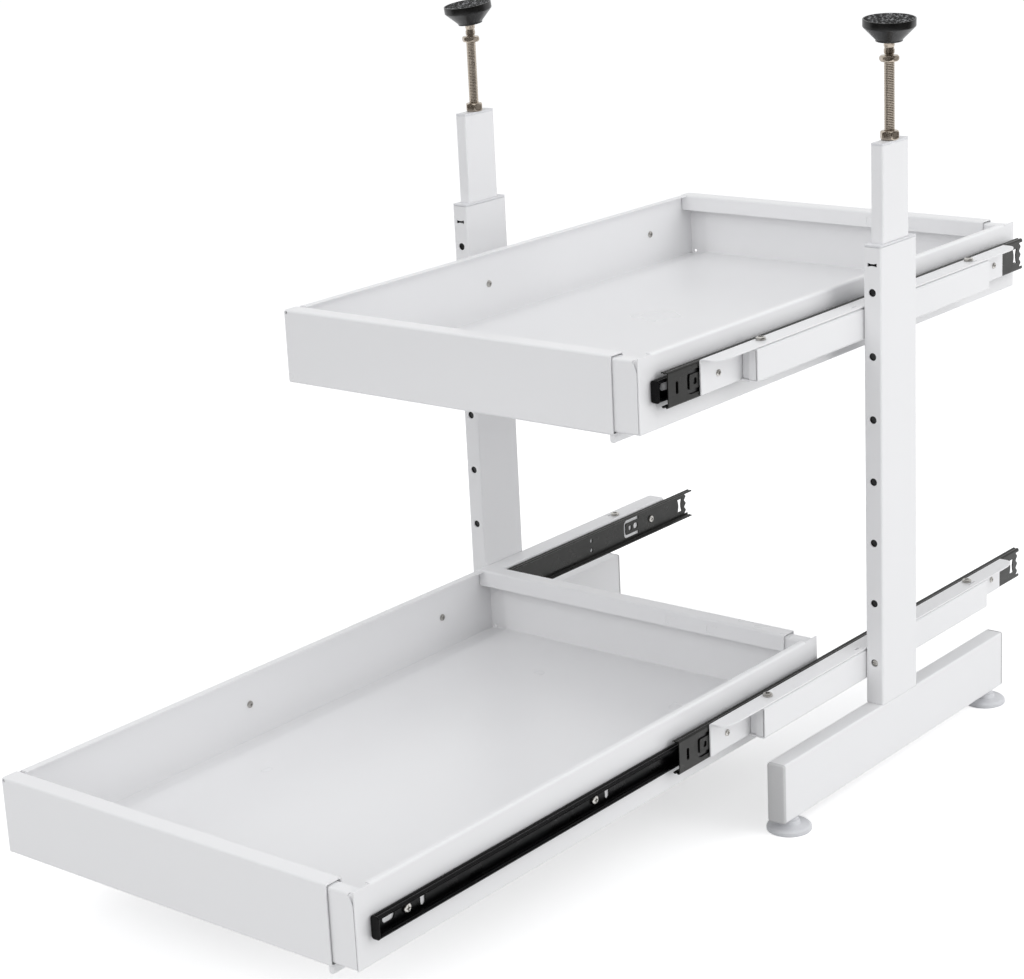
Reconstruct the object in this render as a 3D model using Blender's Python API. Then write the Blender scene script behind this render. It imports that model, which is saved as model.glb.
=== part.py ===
"""Pull-out cabinet organizer: two sheet-steel trays on ball slides between two height-adjustable posts.

X runs across the trays, Y runs back into the cabinet and Z is up. The origin is on the floor, below
the middle of the organizer as it stands with its lower tray pulled out and its upper tray closed.
Places across the width are measured outwards from a tray's side face, so that one function makes
the left and the right piece. Places along the depth are measured from the axis of the posts.
"""

import math

import bmesh
import bpy
from mathutils import Matrix, Vector

# Fits and cuts that all pieces share
FIT = 0.0003
OVERRUN = 0.002
BEND_RADIUS = 0.001
BEND_STEPS = 2
CORNER_STEPS = 3
ROUND_SIDES = 24
SMALL_SIDES = 12
SHARP_ANGLE = math.radians(35)

# Trays
TRAY_SHEET = 0.001
TRAY_WIDTH = 0.330
TRAY_DEPTH = 0.535
TRAY_HEIGHT = 0.057
RIM_FLANGE = 0.015
RIM_LIP = 0.0135
LEFT_FLANGE = 0.008
RIGHT_FLANGE = 0.0045
WALL_FOOT = 0.012
EXTENSION_SHOWN = 0.022
EXTENSION_NESTED = 0.290
STIFFENER_DROP = 0.006
STIFFENER_WIDTH = 0.0045
STIFFENER_LIFT = 0.0035
STIFFENER_INSET = 0.004

# Where the trays stand
LOWER_RIM = 0.117
TIER_RISE = 0.269
LOWER_PULL = 0.312
TRAY_AHEAD = 0.276

# Ball slides: a member on the tray, a member on the rail and a ball cage between them
SLIDE_SHEET = 0.0012
SLIDE_LENGTH = 0.508
SLIDE_BELOW_RIM = {"lower": 0.0285, "upper": 0.026}
TRAY_MEMBER_SETBACK = 0.0145
TRAY_MEMBER_HEIGHT = 0.0162
TRAY_MEMBER_REACH = 0.0072
RAIL_MEMBER_HEIGHT = 0.026
RAIL_MEMBER_REACH = 0.006
SLIDE_GAP = 0.0013
CAGE_SHEET = 0.0005
CAGE_LENGTH = 0.110
CAGE_REACH = 0.0042
BALLS_PER_ROW = 5
BALL_SIDES = 6
BALL_RINGS = 4

# Rail brackets: angles that carry the slides, screwed down on the beams
RAIL_SHEET = 0.0012
BRACKET_LENGTH = 0.434
BRACKET_ABOVE_SLIDE = 0.0143
BRACKET_BELOW_SLIDE = 0.0117
BRACKET_CORNER_ALONG = 0.020
BRACKET_CORNER_ACROSS = 0.009
BEAM_LENGTH = 0.336
BEAM_WIDTH = 0.0144
BEAM_HEIGHT = 0.0243
FLANGE_SCREW_END = 0.018
FLANGE_SCREW_INSET = 0.0067
FLANGE_SCREW_HEAD = 0.0075
FLANGE_SCREW_HEAD_HEIGHT = 0.0022
FLANGE_SCREW_BEVEL = 0.0007
FLANGE_SCREW_SHANK = 0.0035
FLANGE_SCREW_LENGTH = 0.009

# Posts and bases
POST_WIDTH = 0.015
POST_DEPTH = 0.052
POST_HEIGHT = 0.3609
POST_WALL = 0.0012
TUBE_CORNER = 0.0016
POST_HOLE = 0.006
POST_HOLE_COUNT = 7
POST_HOLE_PITCH = 0.0489
POST_HOLE_DROP = 0.0342
POST_SLIT_WIDTH = 0.006
POST_SLIT_HEIGHT = 0.002
POST_SLIT_DROP = 0.0132
POST_SCREW_SUNK = 0.0008
POST_SCREW_HEAD_HEIGHT = 0.0024
POST_SCREW_SHANK = 0.004
POST_SCREW_LENGTH = 0.016
BASE_LENGTH = 0.330
BASE_HEIGHT = 0.047
BASE_WALL = 0.0015
BASE_CLEARANCE = 0.011
CAP_THICKNESS = 0.0027
CAP_CHAMFER = 0.0011
CAP_PLUG_CLEARANCE = 0.0021
CAP_PLUG_WALL = 0.0018

# Telescopic inner posts
INNER_WIDTH = 0.0104
INNER_DEPTH = 0.0373
INNER_WALL = 0.001
INNER_CORNER = 0.0013
INNER_LENGTH = 0.300
INNER_SHOWN = 0.0743
BUSHING_LENGTH = 0.025
BUSHING_RIM = 0.0015
INNER_CAP_PLATE = 0.0015
INNER_CAP_LEG = 0.012
INNER_CAP_LEG_DEPTH = 0.0095

# Screw jacks
THREAD_DIAMETER = 0.0078
HEX_SIDES = 6
HEX_FLATS = 0.013
LOCK_NUT_HEIGHT = 0.0065
ROD_SHOWN = 0.0507
ROD_ENGAGED = 0.095
ROD_CHAMFER = 0.001
ROD_HEX_HEIGHT = 0.0044
COLLAR_HEIGHT = 0.0104
COLLAR_DIAMETER = 0.0088
BALL_DIAMETER = 0.011
BALL_RISE = 0.0036
PAD_MOUTH_DIAMETER = 0.0108
PAD_BASE_DIAMETER = 0.020
PAD_DIAMETER = 0.0392
PAD_CONE_HEIGHT = 0.0102
PAD_BAND_HEIGHT = 0.0062
TREAD_RIM = 0.0012
TREAD_DEPTH = 0.0013
TREAD_PROUD = 0.0004
PAD_REST_TILT = {"left": math.radians(7.6), "right": 0}

# Levelling feet
FOOT_INSET = 0.015
FOOT_DIAMETER = 0.034
FOOT_RIM = 0.003
FOOT_SHOULDER = 0.0014
FOOT_NECK_DIAMETER = 0.013
FOOT_NECK_HEIGHT = 0.0035
FOOT_STUD_DIAMETER = 0.0078
FOOT_STUD_LENGTH = 0.026

SIDES = {"left": -1, "right": 1}
TIERS = {"lower": (LOWER_RIM, LOWER_PULL), "upper": (LOWER_RIM + TIER_RISE, 0)}

# Colour, roughness and metallic value of each material
FINISHES = {
    "white_powder_coat": ((0.80, 0.80, 0.82), 0.45, 0),
    "black_slide_steel": ((0.035, 0.035, 0.033), 0.4, 0.6),
    "bright_steel": ((0.55, 0.53, 0.50), 0.3, 1),
    "nickel_plate": ((0.50, 0.44, 0.37), 0.3, 1),
    "white_plastic": ((0.78, 0.78, 0.77), 0.5, 0),
    "grey_plastic": ((0.42, 0.42, 0.42), 0.5, 0),
    "black_plastic": ((0.02, 0.02, 0.022), 0.6, 0),
    "black_rubber": ((0.015, 0.015, 0.015), 0.8, 0),
}

# Places that follow from the sizes
TRAY_EDGE = TRAY_WIDTH / 2
POST_Y = -(TRAY_DEPTH + LOWER_PULL) / 2 + LOWER_PULL + TRAY_AHEAD
TRAY_MEMBER_TIP = FIT + TRAY_MEMBER_REACH
RAIL_MEMBER_BACK = TRAY_MEMBER_TIP + SLIDE_GAP + SLIDE_SHEET
BRACKET_FACE = RAIL_MEMBER_BACK + FIT
BEAM_EDGE = BRACKET_FACE + RAIL_SHEET + FIT
BEAM_BACK = BEAM_EDGE + BEAM_WIDTH
POST_FACE = BEAM_BACK + FIT
POST_AXIS = POST_FACE + POST_WIDTH / 2
BASE_TOP = BASE_CLEARANCE + BASE_HEIGHT
POST_BOTTOM = BASE_TOP + FIT
POST_TOP = POST_BOTTOM + POST_HEIGHT
INNER_TOP = POST_TOP + INNER_SHOWN
INNER_CAP_TOP = INNER_TOP + FIT + INNER_CAP_PLATE
LOCK_NUT_TOP = INNER_CAP_TOP + FIT + LOCK_NUT_HEIGHT
ROD_HEX_BOTTOM = LOCK_NUT_TOP + ROD_SHOWN
ROD_HEX_TOP = ROD_HEX_BOTTOM + ROD_HEX_HEIGHT
PAD_BOTTOM = ROD_HEX_TOP + COLLAR_HEIGHT
BALL_CENTRE = PAD_BOTTOM + BALL_RISE
PAD_TOP = PAD_BOTTOM + PAD_CONE_HEIGHT + PAD_BAND_HEIGHT


def across(side, distance):
    """X of a place that lies a distance outwards from the tray's side face."""
    return side * (TRAY_EDGE + distance)


def slide_height(tier):
    """Height of the middle of a tier's slides."""
    return TIERS[tier][0] - SLIDE_BELOW_RIM[tier]


def tray_front(tier):
    """Y of the front face of a tier's tray, as it stands."""
    return POST_Y - TRAY_AHEAD - TIERS[tier][1]


def clear_scene():
    """Remove what the scene holds."""
    for thing in list(bpy.data.objects):
        bpy.data.objects.remove(thing, do_unlink=True)


def make_materials():
    """One Principled material for each finish."""
    materials = {}
    for name, (colour, roughness, metallic) in FINISHES.items():
        material = bpy.data.materials.new(name)
        material.use_nodes = True
        shader = material.node_tree.nodes["Principled BSDF"]
        shader.inputs["Base Color"].default_value = (*colour, 1)
        shader.inputs["Roughness"].default_value = roughness
        shader.inputs["Metallic"].default_value = metallic
        materials[name] = material
    return materials


def make_shape(builder):
    """A closed body from a filled bmesh, with its faces turned outwards."""
    bmesh.ops.recalc_face_normals(builder, faces=builder.faces[:])
    mesh = bpy.data.meshes.new("shape")
    builder.to_mesh(mesh)
    builder.free()
    shape = bpy.data.objects.new("shape", mesh)
    bpy.context.scene.collection.objects.link(shape)
    return shape


def skin(rings, around=False):
    """A body through rings of points: its ends are filled, or it closes on itself like a tube."""
    builder = bmesh.new()
    loops = [[builder.verts.new(point) for point in ring] for ring in rings]
    if around:
        loops.append(loops[0])
    for near, far in zip(loops, loops[1:]):
        for index, corner in enumerate(near):
            following = (index + 1) % len(near)
            builder.faces.new((corner, near[following], far[following], far[index]))
    if not around:
        builder.faces.new(loops[0])
        builder.faces.new(loops[-1])
    return make_shape(builder)


def at_x(outline, x):
    return [(x, y, z) for y, z in outline]


def at_y(outline, y):
    return [(x, y, z) for x, z in outline]


def at_z(outline, z):
    return [(x, y, z) for x, y in outline]


def block(low, high):
    """A box between two corners."""
    outline = [(low[0], low[1]), (high[0], low[1]), (high[0], high[1]), (low[0], high[1])]
    return skin([at_z(outline, low[2]), at_z(outline, high[2])])


def circle(centre, radius, sides):
    """Points round a circle, in the plane of its two coordinates."""
    turns = [2 * math.pi * index / sides for index in range(sides)]
    return [(centre[0] + radius * math.cos(turn), centre[1] + radius * math.sin(turn)) for turn in turns]


def round_rectangle(centre, width, height, radius):
    """A rectangle with round corners, with the same number of points for every size."""
    points = []
    for quarter, (across_sign, up_sign) in enumerate(((1, 1), (-1, 1), (-1, -1), (1, -1))):
        middle_u = centre[0] + across_sign * (width / 2 - radius)
        middle_v = centre[1] + up_sign * (height / 2 - radius)
        for step in range(CORNER_STEPS + 1):
            turn = math.pi / 2 * (quarter + step / CORNER_STEPS)
            points.append((middle_u + radius * math.cos(turn), middle_v + radius * math.sin(turn)))
    return points


def turned(profile, centre, sides=ROUND_SIDES):
    """A turned body about a vertical axis, from radius and height pairs.

    A pair with no radius is a point on the axis. A profile with none closes on itself.
    """
    builder = bmesh.new()
    loops = []
    for radius, height in profile:
        if radius:
            loops.append([builder.verts.new(point) for point in at_z(circle(centre, radius, sides), height)])
        else:
            loops.append([builder.verts.new((*centre, height))] * sides)
    for near, far in zip(loops, loops[1:] + loops[:1]):
        for index, corner in enumerate(near):
            following = (index + 1) % sides
            corners = dict.fromkeys((corner, near[following], far[following], far[index]))
            if len(corners) > 2:
                builder.faces.new(tuple(corners))
    return make_shape(builder)


def bent_strip(path, thickness):
    """Outline of folded sheet of even thickness, along a middle line with round bends."""
    points = [Vector(point) for point in path]
    half = thickness / 2
    middle_radius = BEND_RADIUS + half
    left = []
    right = []
    for index, point in enumerate(points):
        ahead = (points[min(index + 1, len(points) - 1)] - points[min(index, len(points) - 2)]).normalized()
        behind = (points[max(index, 1)] - points[max(index - 1, 0)]).normalized()
        normal = Vector((-behind.y, behind.x))
        turn = math.atan2(behind.cross(ahead), behind.dot(ahead))
        if not turn:
            left.append(point + normal * half)
            right.append(point - normal * half)
            continue
        sign = math.copysign(1, turn)
        centre = point - behind * middle_radius * math.tan(abs(turn) / 2) + normal * sign * middle_radius
        for step in range(BEND_STEPS + 1):
            spoke = normal.copy()
            spoke.rotate(Matrix.Rotation(turn * step / BEND_STEPS, 2))
            left.append(centre - spoke * (sign * middle_radius - half))
            right.append(centre - spoke * (sign * middle_radius + half))
    return [tuple(point) for point in left + right[::-1]]


def combine(shape, tools, operation):
    """Join tools to a shape or cut them from it, and use the tools up."""
    for tool in tools:
        modifier = shape.modifiers.new("combine", "BOOLEAN")
        modifier.operation = operation
        modifier.solver = "EXACT"
        modifier.object = tool
    evaluated = shape.evaluated_get(bpy.context.evaluated_depsgraph_get())
    mesh = bpy.data.meshes.new_from_object(evaluated)
    shape.modifiers.clear()
    shape.data = mesh
    for tool in tools:
        bpy.data.objects.remove(tool, do_unlink=True)
    return shape


def add_body(name, place, tilt=0):
    """An empty at the point that a body's joint works from, for its pieces to hang on."""
    body = bpy.data.objects.new(name, None)
    body.location = place
    body.rotation_euler.x = tilt
    bpy.context.scene.collection.objects.link(body)
    return body


def finish(shape, name, body, material):
    """Name a shape, give it its material and hang it on its body."""
    shape.name = name
    shape.data.name = name
    shape.data.transform(Matrix.Translation(-body.location))
    shape.parent = body
    shape.data.materials.clear()
    shape.data.materials.append(material)
    shape.data.shade_smooth()
    shape.data.set_sharp_from_angle(angle=SHARP_ANGLE)
    return shape


def rim_path(front, rear, bottom, top):
    """Middle line, in Y and Z, of a tray's lip, flange, wall and floor, and the same at its rear."""
    half = TRAY_SHEET / 2
    flange_inner = front + RIM_FLANGE - half
    rear_inner = rear - RIM_FLANGE + half
    return [
        (flange_inner, top - RIM_LIP),
        (flange_inner, top - half),
        (front + half, top - half),
        (front + half, bottom + half),
        (rear - half, bottom + half),
        (rear - half, top - half),
        (rear_inner, top - half),
        (rear_inner, top - RIM_LIP),
    ]


def nested_rim_path(front, rear, bottom, top):
    """The same middle line for the extension, which slides one sheet and one fit inside."""
    step = TRAY_SHEET + FIT
    half = TRAY_SHEET / 2
    flange_inner = front + RIM_FLANGE - step - half
    rear_inner = rear - RIM_FLANGE + step + half
    return [
        (flange_inner, top - RIM_LIP),
        (flange_inner, top - step - half),
        (front + step + half, top - step - half),
        (front + step + half, bottom + step + half),
        (rear - step - half, bottom + step + half),
        (rear - step - half, top - step - half),
        (rear_inner, top - step - half),
        (rear_inner, top - RIM_LIP),
    ]


def side_wall(side, front, rear, bottom, top, flange):
    """An end wall of a tray: a foot on the floor, the wall and a narrow flange that turns in."""
    half = TRAY_SHEET / 2
    wall = across(side, -half)
    path = [
        (across(side, -WALL_FOOT), bottom + half),
        (wall, bottom + half),
        (wall, top - half),
        (across(side, -flange), top - half),
    ]
    outline = bent_strip(path, TRAY_SHEET)
    return skin([at_y(outline, front), at_y(outline, rear)])


def main_tray(tier):
    """The left and larger part of a tray, open at its right end."""
    rim = TIERS[tier][0]
    bottom = rim - TRAY_HEIGHT
    front = tray_front(tier)
    rear = front + TRAY_DEPTH
    open_end = TRAY_EDGE - EXTENSION_SHOWN
    outline = bent_strip(rim_path(front, rear, bottom, rim), TRAY_SHEET)
    folded = skin([at_x(outline, -TRAY_EDGE + TRAY_SHEET / 2), at_x(outline, open_end)])
    wall = side_wall(SIDES["left"], front, rear, bottom, rim, LEFT_FLANGE)
    return combine(folded, [wall, floor_stiffener(open_end, front, rear, bottom)], "UNION")


def floor_stiffener(open_end, front, rear, bottom):
    """The fold that hangs below the open end of the main tray's floor."""
    half = TRAY_SHEET / 2
    path = [
        (open_end - WALL_FOOT, bottom + half),
        (open_end - half, bottom + half),
        (open_end - half, bottom - STIFFENER_DROP + half),
        (open_end - STIFFENER_WIDTH + half, bottom - STIFFENER_DROP + half),
        (open_end - STIFFENER_WIDTH + half, bottom - STIFFENER_DROP + STIFFENER_LIFT),
    ]
    outline = bent_strip(path, TRAY_SHEET)
    return skin([at_y(outline, front + STIFFENER_INSET), at_y(outline, rear - STIFFENER_INSET)])


def tray_extension(tier):
    """The right part of a tray, which slides inside the main part to set the width."""
    rim = TIERS[tier][0]
    bottom = rim - TRAY_HEIGHT
    front = tray_front(tier)
    rear = front + TRAY_DEPTH
    step = TRAY_SHEET + FIT
    outline = bent_strip(nested_rim_path(front, rear, bottom, rim), TRAY_SHEET)
    near_end = TRAY_EDGE - EXTENSION_SHOWN - EXTENSION_NESTED
    folded = skin([at_x(outline, near_end), at_x(outline, TRAY_EDGE - TRAY_SHEET / 2)])
    wall = side_wall(SIDES["right"], front + step, rear - step, bottom + step, rim, RIGHT_FLANGE)
    return combine(folded, [wall], "UNION")


def channel(side, tips, back, height, centre, sheet):
    """Outline of a channel in X and Z: flanges from their tips to a web whose far face is at back."""
    web = back - math.copysign(sheet / 2, back - tips)
    reach = height / 2 - sheet / 2
    path = [
        (across(side, tips), centre + reach),
        (across(side, web), centre + reach),
        (across(side, web), centre - reach),
        (across(side, tips), centre - reach),
    ]
    return bent_strip(path, sheet)


def end_plate(side, back, tips, front, centre, reach, sheet):
    """The fold that closes the front end of a channel, from the middle of its web to its flanges' tips."""
    web = back + math.copysign(sheet / 2, tips - back)
    edges = sorted((across(side, web), across(side, tips)))
    return block((edges[0], front, centre - reach), (edges[1], front + sheet, centre + reach))


def tray_member(side, tier):
    """The slide member that is screwed to the tray: a channel with a closed front end."""
    centre = slide_height(tier)
    front = tray_front(tier) + TRAY_MEMBER_SETBACK
    outline = channel(side, TRAY_MEMBER_TIP, FIT, TRAY_MEMBER_HEIGHT, centre, SLIDE_SHEET)
    rail = skin([at_y(outline, front), at_y(outline, front + SLIDE_LENGTH)])
    reach = TRAY_MEMBER_HEIGHT / 2 - SLIDE_SHEET / 2
    return combine(rail, [end_plate(side, FIT, TRAY_MEMBER_TIP, front, centre, reach, SLIDE_SHEET)], "UNION")


def rail_member(side, tier):
    """The slide member that is screwed to the rail bracket: a channel that opens to the tray."""
    tips = RAIL_MEMBER_BACK - RAIL_MEMBER_REACH
    outline = channel(side, tips, RAIL_MEMBER_BACK, RAIL_MEMBER_HEIGHT, slide_height(tier), SLIDE_SHEET)
    half = SLIDE_LENGTH / 2
    return skin([at_y(outline, POST_Y - half), at_y(outline, POST_Y + half)])


def ball_cage(side, tier):
    """The cage between the two members, with its balls held in it."""
    centre = slide_height(tier)
    gap_low = TRAY_MEMBER_HEIGHT / 2
    gap_high = RAIL_MEMBER_HEIGHT / 2 - SLIDE_SHEET
    row = (gap_low + gap_high) / 2
    back = TRAY_MEMBER_TIP + (SLIDE_GAP + CAGE_SHEET) / 2
    outline = channel(side, back - CAGE_REACH, back, 2 * row + CAGE_SHEET, centre, CAGE_SHEET)
    member_rear = tray_front(tier) + TRAY_MEMBER_SETBACK + SLIDE_LENGTH
    middle = (POST_Y - SLIDE_LENGTH / 2 + member_rear) / 2
    cage = skin([at_y(outline, middle - CAGE_LENGTH / 2), at_y(outline, middle + CAGE_LENGTH / 2)])
    radius = (gap_high - gap_low) / 2 - FIT
    ball_line = (RAIL_MEMBER_BACK - RAIL_MEMBER_REACH + TRAY_MEMBER_TIP) / 2
    balls = []
    for index in range(BALLS_PER_ROW):
        along = middle + CAGE_LENGTH * ((index + 1) / (BALLS_PER_ROW + 1) - 1 / 2)
        for sign in (-1, 1):
            balls.append(ball((across(side, ball_line), along), centre + sign * row, radius))
    return combine(cage, balls, "UNION")


def ball(centre, height, radius):
    """A small ball."""
    profile = [(0, height - radius)]
    for ring in range(1, BALL_RINGS):
        turn = math.pi * ring / BALL_RINGS
        profile.append((radius * math.sin(turn), height - radius * math.cos(turn)))
    profile.append((0, height + radius))
    return turned(profile, centre, BALL_SIDES)


def bracket(side, tier):
    """The white angle that carries a slide, with its flange over the beam."""
    half = RAIL_SHEET / 2
    top = slide_height(tier) + BRACKET_ABOVE_SLIDE
    path = [
        (across(side, BRACKET_FACE + half), slide_height(tier) - BRACKET_BELOW_SLIDE),
        (across(side, BRACKET_FACE + half), top - half),
        (across(side, BEAM_BACK), top - half),
    ]
    outline = bent_strip(path, RAIL_SHEET)
    length = BRACKET_LENGTH / 2
    angle = skin([at_y(outline, POST_Y - length), at_y(outline, POST_Y + length)])
    cuts = [bracket_corner(side, end, top) for end in (-1, 1)]
    cuts += [flange_hole(side, end, top) for end in (-1, 1)]
    return combine(angle, cuts, "DIFFERENCE")


def bracket_corner(side, end, top):
    """What is cut off an outer corner of the flange, which widens from its end in a quarter ellipse."""
    tip = POST_Y + end * BRACKET_LENGTH / 2
    outline = []
    for step in range(CORNER_STEPS + 2):
        turn = math.pi / 2 * step / (CORNER_STEPS + 1)
        inwards = BRACKET_CORNER_ACROSS * (1 - math.cos(turn))
        backwards = BRACKET_CORNER_ALONG * (1 - math.sin(turn))
        outline.append((across(side, BEAM_BACK - inwards), tip - end * backwards))
    outline.append((across(side, BEAM_BACK - BRACKET_CORNER_ACROSS), tip + end * OVERRUN))
    outline.append((across(side, BEAM_BACK + OVERRUN), tip + end * OVERRUN))
    outline.append((across(side, BEAM_BACK + OVERRUN), tip - end * BRACKET_CORNER_ALONG))
    return skin([at_z(outline, top - RAIL_SHEET - OVERRUN), at_z(outline, top + OVERRUN)])


def screw_place(side, end):
    """X and Y of a flange screw."""
    along = POST_Y + end * (BEAM_LENGTH / 2 - FLANGE_SCREW_END)
    return (across(side, BRACKET_FACE + FLANGE_SCREW_INSET), along)


def flange_hole(side, end, top):
    """The hole for a flange screw, through the bracket's and the beam's top flanges."""
    outline = circle(screw_place(side, end), FLANGE_SCREW_SHANK / 2 + FIT, SMALL_SIDES)
    depth = 2 * RAIL_SHEET + FIT + OVERRUN
    return skin([at_z(outline, top - depth), at_z(outline, top + OVERRUN)])


def beam(side, tier):
    """The white channel between the bracket and the post, with a closed front end."""
    top = slide_height(tier) + BRACKET_ABOVE_SLIDE - RAIL_SHEET - FIT
    centre = top - BEAM_HEIGHT / 2
    outline = channel(side, BEAM_EDGE, BEAM_BACK, BEAM_HEIGHT, centre, RAIL_SHEET)
    front = POST_Y - BEAM_LENGTH / 2
    rail = skin([at_y(outline, front), at_y(outline, front + BEAM_LENGTH)])
    reach = BEAM_HEIGHT / 2 - RAIL_SHEET / 2
    combine(rail, [end_plate(side, BEAM_BACK, BEAM_EDGE, front, centre, reach, RAIL_SHEET)], "UNION")
    return combine(rail, [flange_hole(side, end, top) for end in (-1, 1)], "DIFFERENCE")


def flange_screw(side, tier, end):
    """A pan-head screw that clamps the bracket's flange to the beam."""
    seat = slide_height(tier) + BRACKET_ABOVE_SLIDE + FIT
    head = FLANGE_SCREW_HEAD / 2
    shank = FLANGE_SCREW_SHANK / 2
    profile = [
        (0, seat - FLANGE_SCREW_LENGTH),
        (shank, seat - FLANGE_SCREW_LENGTH),
        (shank, seat),
        (head, seat),
        (head, seat + FLANGE_SCREW_HEAD_HEIGHT - FLANGE_SCREW_BEVEL),
        (head - FLANGE_SCREW_BEVEL, seat + FLANGE_SCREW_HEAD_HEIGHT),
        (0, seat + FLANGE_SCREW_HEAD_HEIGHT),
    ]
    return turned(profile, screw_place(side, end), SMALL_SIDES)


def post(side):
    """The upright outer tube, with its row of holes and a slit in its front face."""
    centre = (across(side, POST_AXIS), POST_Y)
    outer = round_rectangle(centre, POST_WIDTH, POST_DEPTH, TUBE_CORNER)
    inner_corner = TUBE_CORNER - POST_WALL
    inner = round_rectangle(centre, POST_WIDTH - 2 * POST_WALL, POST_DEPTH - 2 * POST_WALL, inner_corner)
    rings = [at_z(outer, POST_BOTTOM), at_z(outer, POST_TOP), at_z(inner, POST_TOP), at_z(inner, POST_BOTTOM)]
    tube = skin(rings, around=True)
    face = POST_Y - POST_DEPTH / 2
    cuts = []
    for index in range(POST_HOLE_COUNT):
        hole = circle((centre[0], hole_height(index)), POST_HOLE / 2, SMALL_SIDES)
        cuts.append(skin([at_y(hole, face - OVERRUN), at_y(hole, face + POST_WALL + OVERRUN)]))
    slit_top = POST_TOP - POST_SLIT_DROP + POST_SLIT_HEIGHT / 2
    low = (centre[0] - POST_SLIT_WIDTH / 2, face - OVERRUN, slit_top - POST_SLIT_HEIGHT)
    high = (centre[0] + POST_SLIT_WIDTH / 2, face + POST_WALL + OVERRUN, slit_top)
    cuts.append(block(low, high))
    return combine(tube, cuts, "DIFFERENCE")


def hole_height(index):
    """Height of a hole in the post's front face, counted from the top."""
    return POST_TOP - POST_HOLE_DROP - index * POST_HOLE_PITCH


def post_screw(side):
    """The screw sunk in the lowest hole of the post, which holds the lower beam."""
    centre = (across(side, POST_AXIS), hole_height(POST_HOLE_COUNT - 1))
    face = POST_Y - POST_DEPTH / 2 + POST_SCREW_SUNK
    head = circle(centre, POST_HOLE / 2 - FIT, SMALL_SIDES)
    shank = circle(centre, POST_SCREW_SHANK / 2, SMALL_SIDES)
    neck = face + POST_SCREW_HEAD_HEIGHT
    tip = face + POST_SCREW_LENGTH
    return skin([at_y(head, face), at_y(head, neck), at_y(shank, neck), at_y(shank, tip)])


def foot_y(end):
    """Y of a foot, which stands a set way in from the end of the base tube."""
    return POST_Y + end * (BASE_LENGTH / 2 - FOOT_INSET)


def base(side):
    """The tube that lies on the feet and carries the post."""
    middle = (across(side, POST_AXIS), BASE_CLEARANCE + BASE_HEIGHT / 2)
    outer = round_rectangle(middle, POST_WIDTH, BASE_HEIGHT, TUBE_CORNER)
    inner_corner = TUBE_CORNER - POST_WALL
    inner = round_rectangle(middle, POST_WIDTH - 2 * BASE_WALL, BASE_HEIGHT - 2 * BASE_WALL, inner_corner)
    front = POST_Y - BASE_LENGTH / 2
    rear = POST_Y + BASE_LENGTH / 2
    tube = skin([at_y(outer, front), at_y(outer, rear), at_y(inner, rear), at_y(inner, front)], around=True)
    cuts = []
    for end in (-1, 1):
        stud = circle((middle[0], foot_y(end)), FOOT_STUD_DIAMETER / 2 + FIT, SMALL_SIDES)
        ring_low = at_z(stud, BASE_CLEARANCE - OVERRUN)
        cuts.append(skin([ring_low, at_z(stud, BASE_CLEARANCE + BASE_WALL + OVERRUN)]))
    return combine(tube, cuts, "DIFFERENCE")


def base_cap(side, end):
    """A plastic cap: a plug inside the base tube and a plate with chamfered edges over its end."""
    middle = (across(side, POST_AXIS), BASE_CLEARANCE + BASE_HEIGHT / 2)
    seat = POST_Y + end * (BASE_LENGTH / 2 + FIT)
    face = seat + end * CAP_THICKNESS
    plug_end = foot_y(end) + end * (FOOT_STUD_DIAMETER / 2 + CAP_PLUG_CLEARANCE)
    plug_width = POST_WIDTH - 2 * BASE_WALL - 2 * FIT
    plug_height = BASE_HEIGHT - 2 * BASE_WALL - 2 * FIT
    plug = round_rectangle(middle, plug_width, plug_height, TUBE_CORNER)
    hollow_width = plug_width - 2 * CAP_PLUG_WALL
    hollow = round_rectangle(middle, hollow_width, plug_height - 2 * CAP_PLUG_WALL, TUBE_CORNER)
    plate = round_rectangle(middle, POST_WIDTH, BASE_HEIGHT, TUBE_CORNER)
    small = round_rectangle(middle, POST_WIDTH - 2 * CAP_CHAMFER, BASE_HEIGHT - 2 * CAP_CHAMFER, TUBE_CORNER)
    rings = [
        at_y(hollow, seat),
        at_y(hollow, plug_end),
        at_y(plug, plug_end),
        at_y(plug, seat),
        at_y(plate, seat),
        at_y(plate, face - end * CAP_CHAMFER),
        at_y(small, face),
    ]
    return skin(rings)


def bushing(side):
    """The plastic sleeve in the post's mouth that guides the inner post."""
    centre = (across(side, POST_AXIS), POST_Y)
    rim = round_rectangle(centre, POST_WIDTH, POST_DEPTH, TUBE_CORNER)
    body_width = POST_WIDTH - 2 * POST_WALL - 2 * FIT
    body = round_rectangle(centre, body_width, POST_DEPTH - 2 * POST_WALL - 2 * FIT, TUBE_CORNER - POST_WALL)
    mouth = round_rectangle(centre, INNER_WIDTH + 2 * FIT, INNER_DEPTH + 2 * FIT, INNER_CORNER)
    seat = POST_TOP + FIT
    rings = [
        at_z(body, seat - BUSHING_LENGTH),
        at_z(body, seat),
        at_z(rim, seat),
        at_z(rim, seat + BUSHING_RIM),
        at_z(mouth, seat + BUSHING_RIM),
        at_z(mouth, seat - BUSHING_LENGTH),
    ]
    return skin(rings, around=True)


def inner_tube(side):
    """The inner post, which telescopes in the outer one."""
    centre = (across(side, POST_AXIS), POST_Y)
    outer = round_rectangle(centre, INNER_WIDTH, INNER_DEPTH, INNER_CORNER)
    inner_corner = INNER_CORNER - INNER_WALL
    inner = round_rectangle(centre, INNER_WIDTH - 2 * INNER_WALL, INNER_DEPTH - 2 * INNER_WALL, inner_corner)
    low = INNER_TOP - INNER_LENGTH
    rings = [at_z(outer, low), at_z(outer, INNER_TOP), at_z(inner, INNER_TOP), at_z(inner, low)]
    return skin(rings, around=True)


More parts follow.
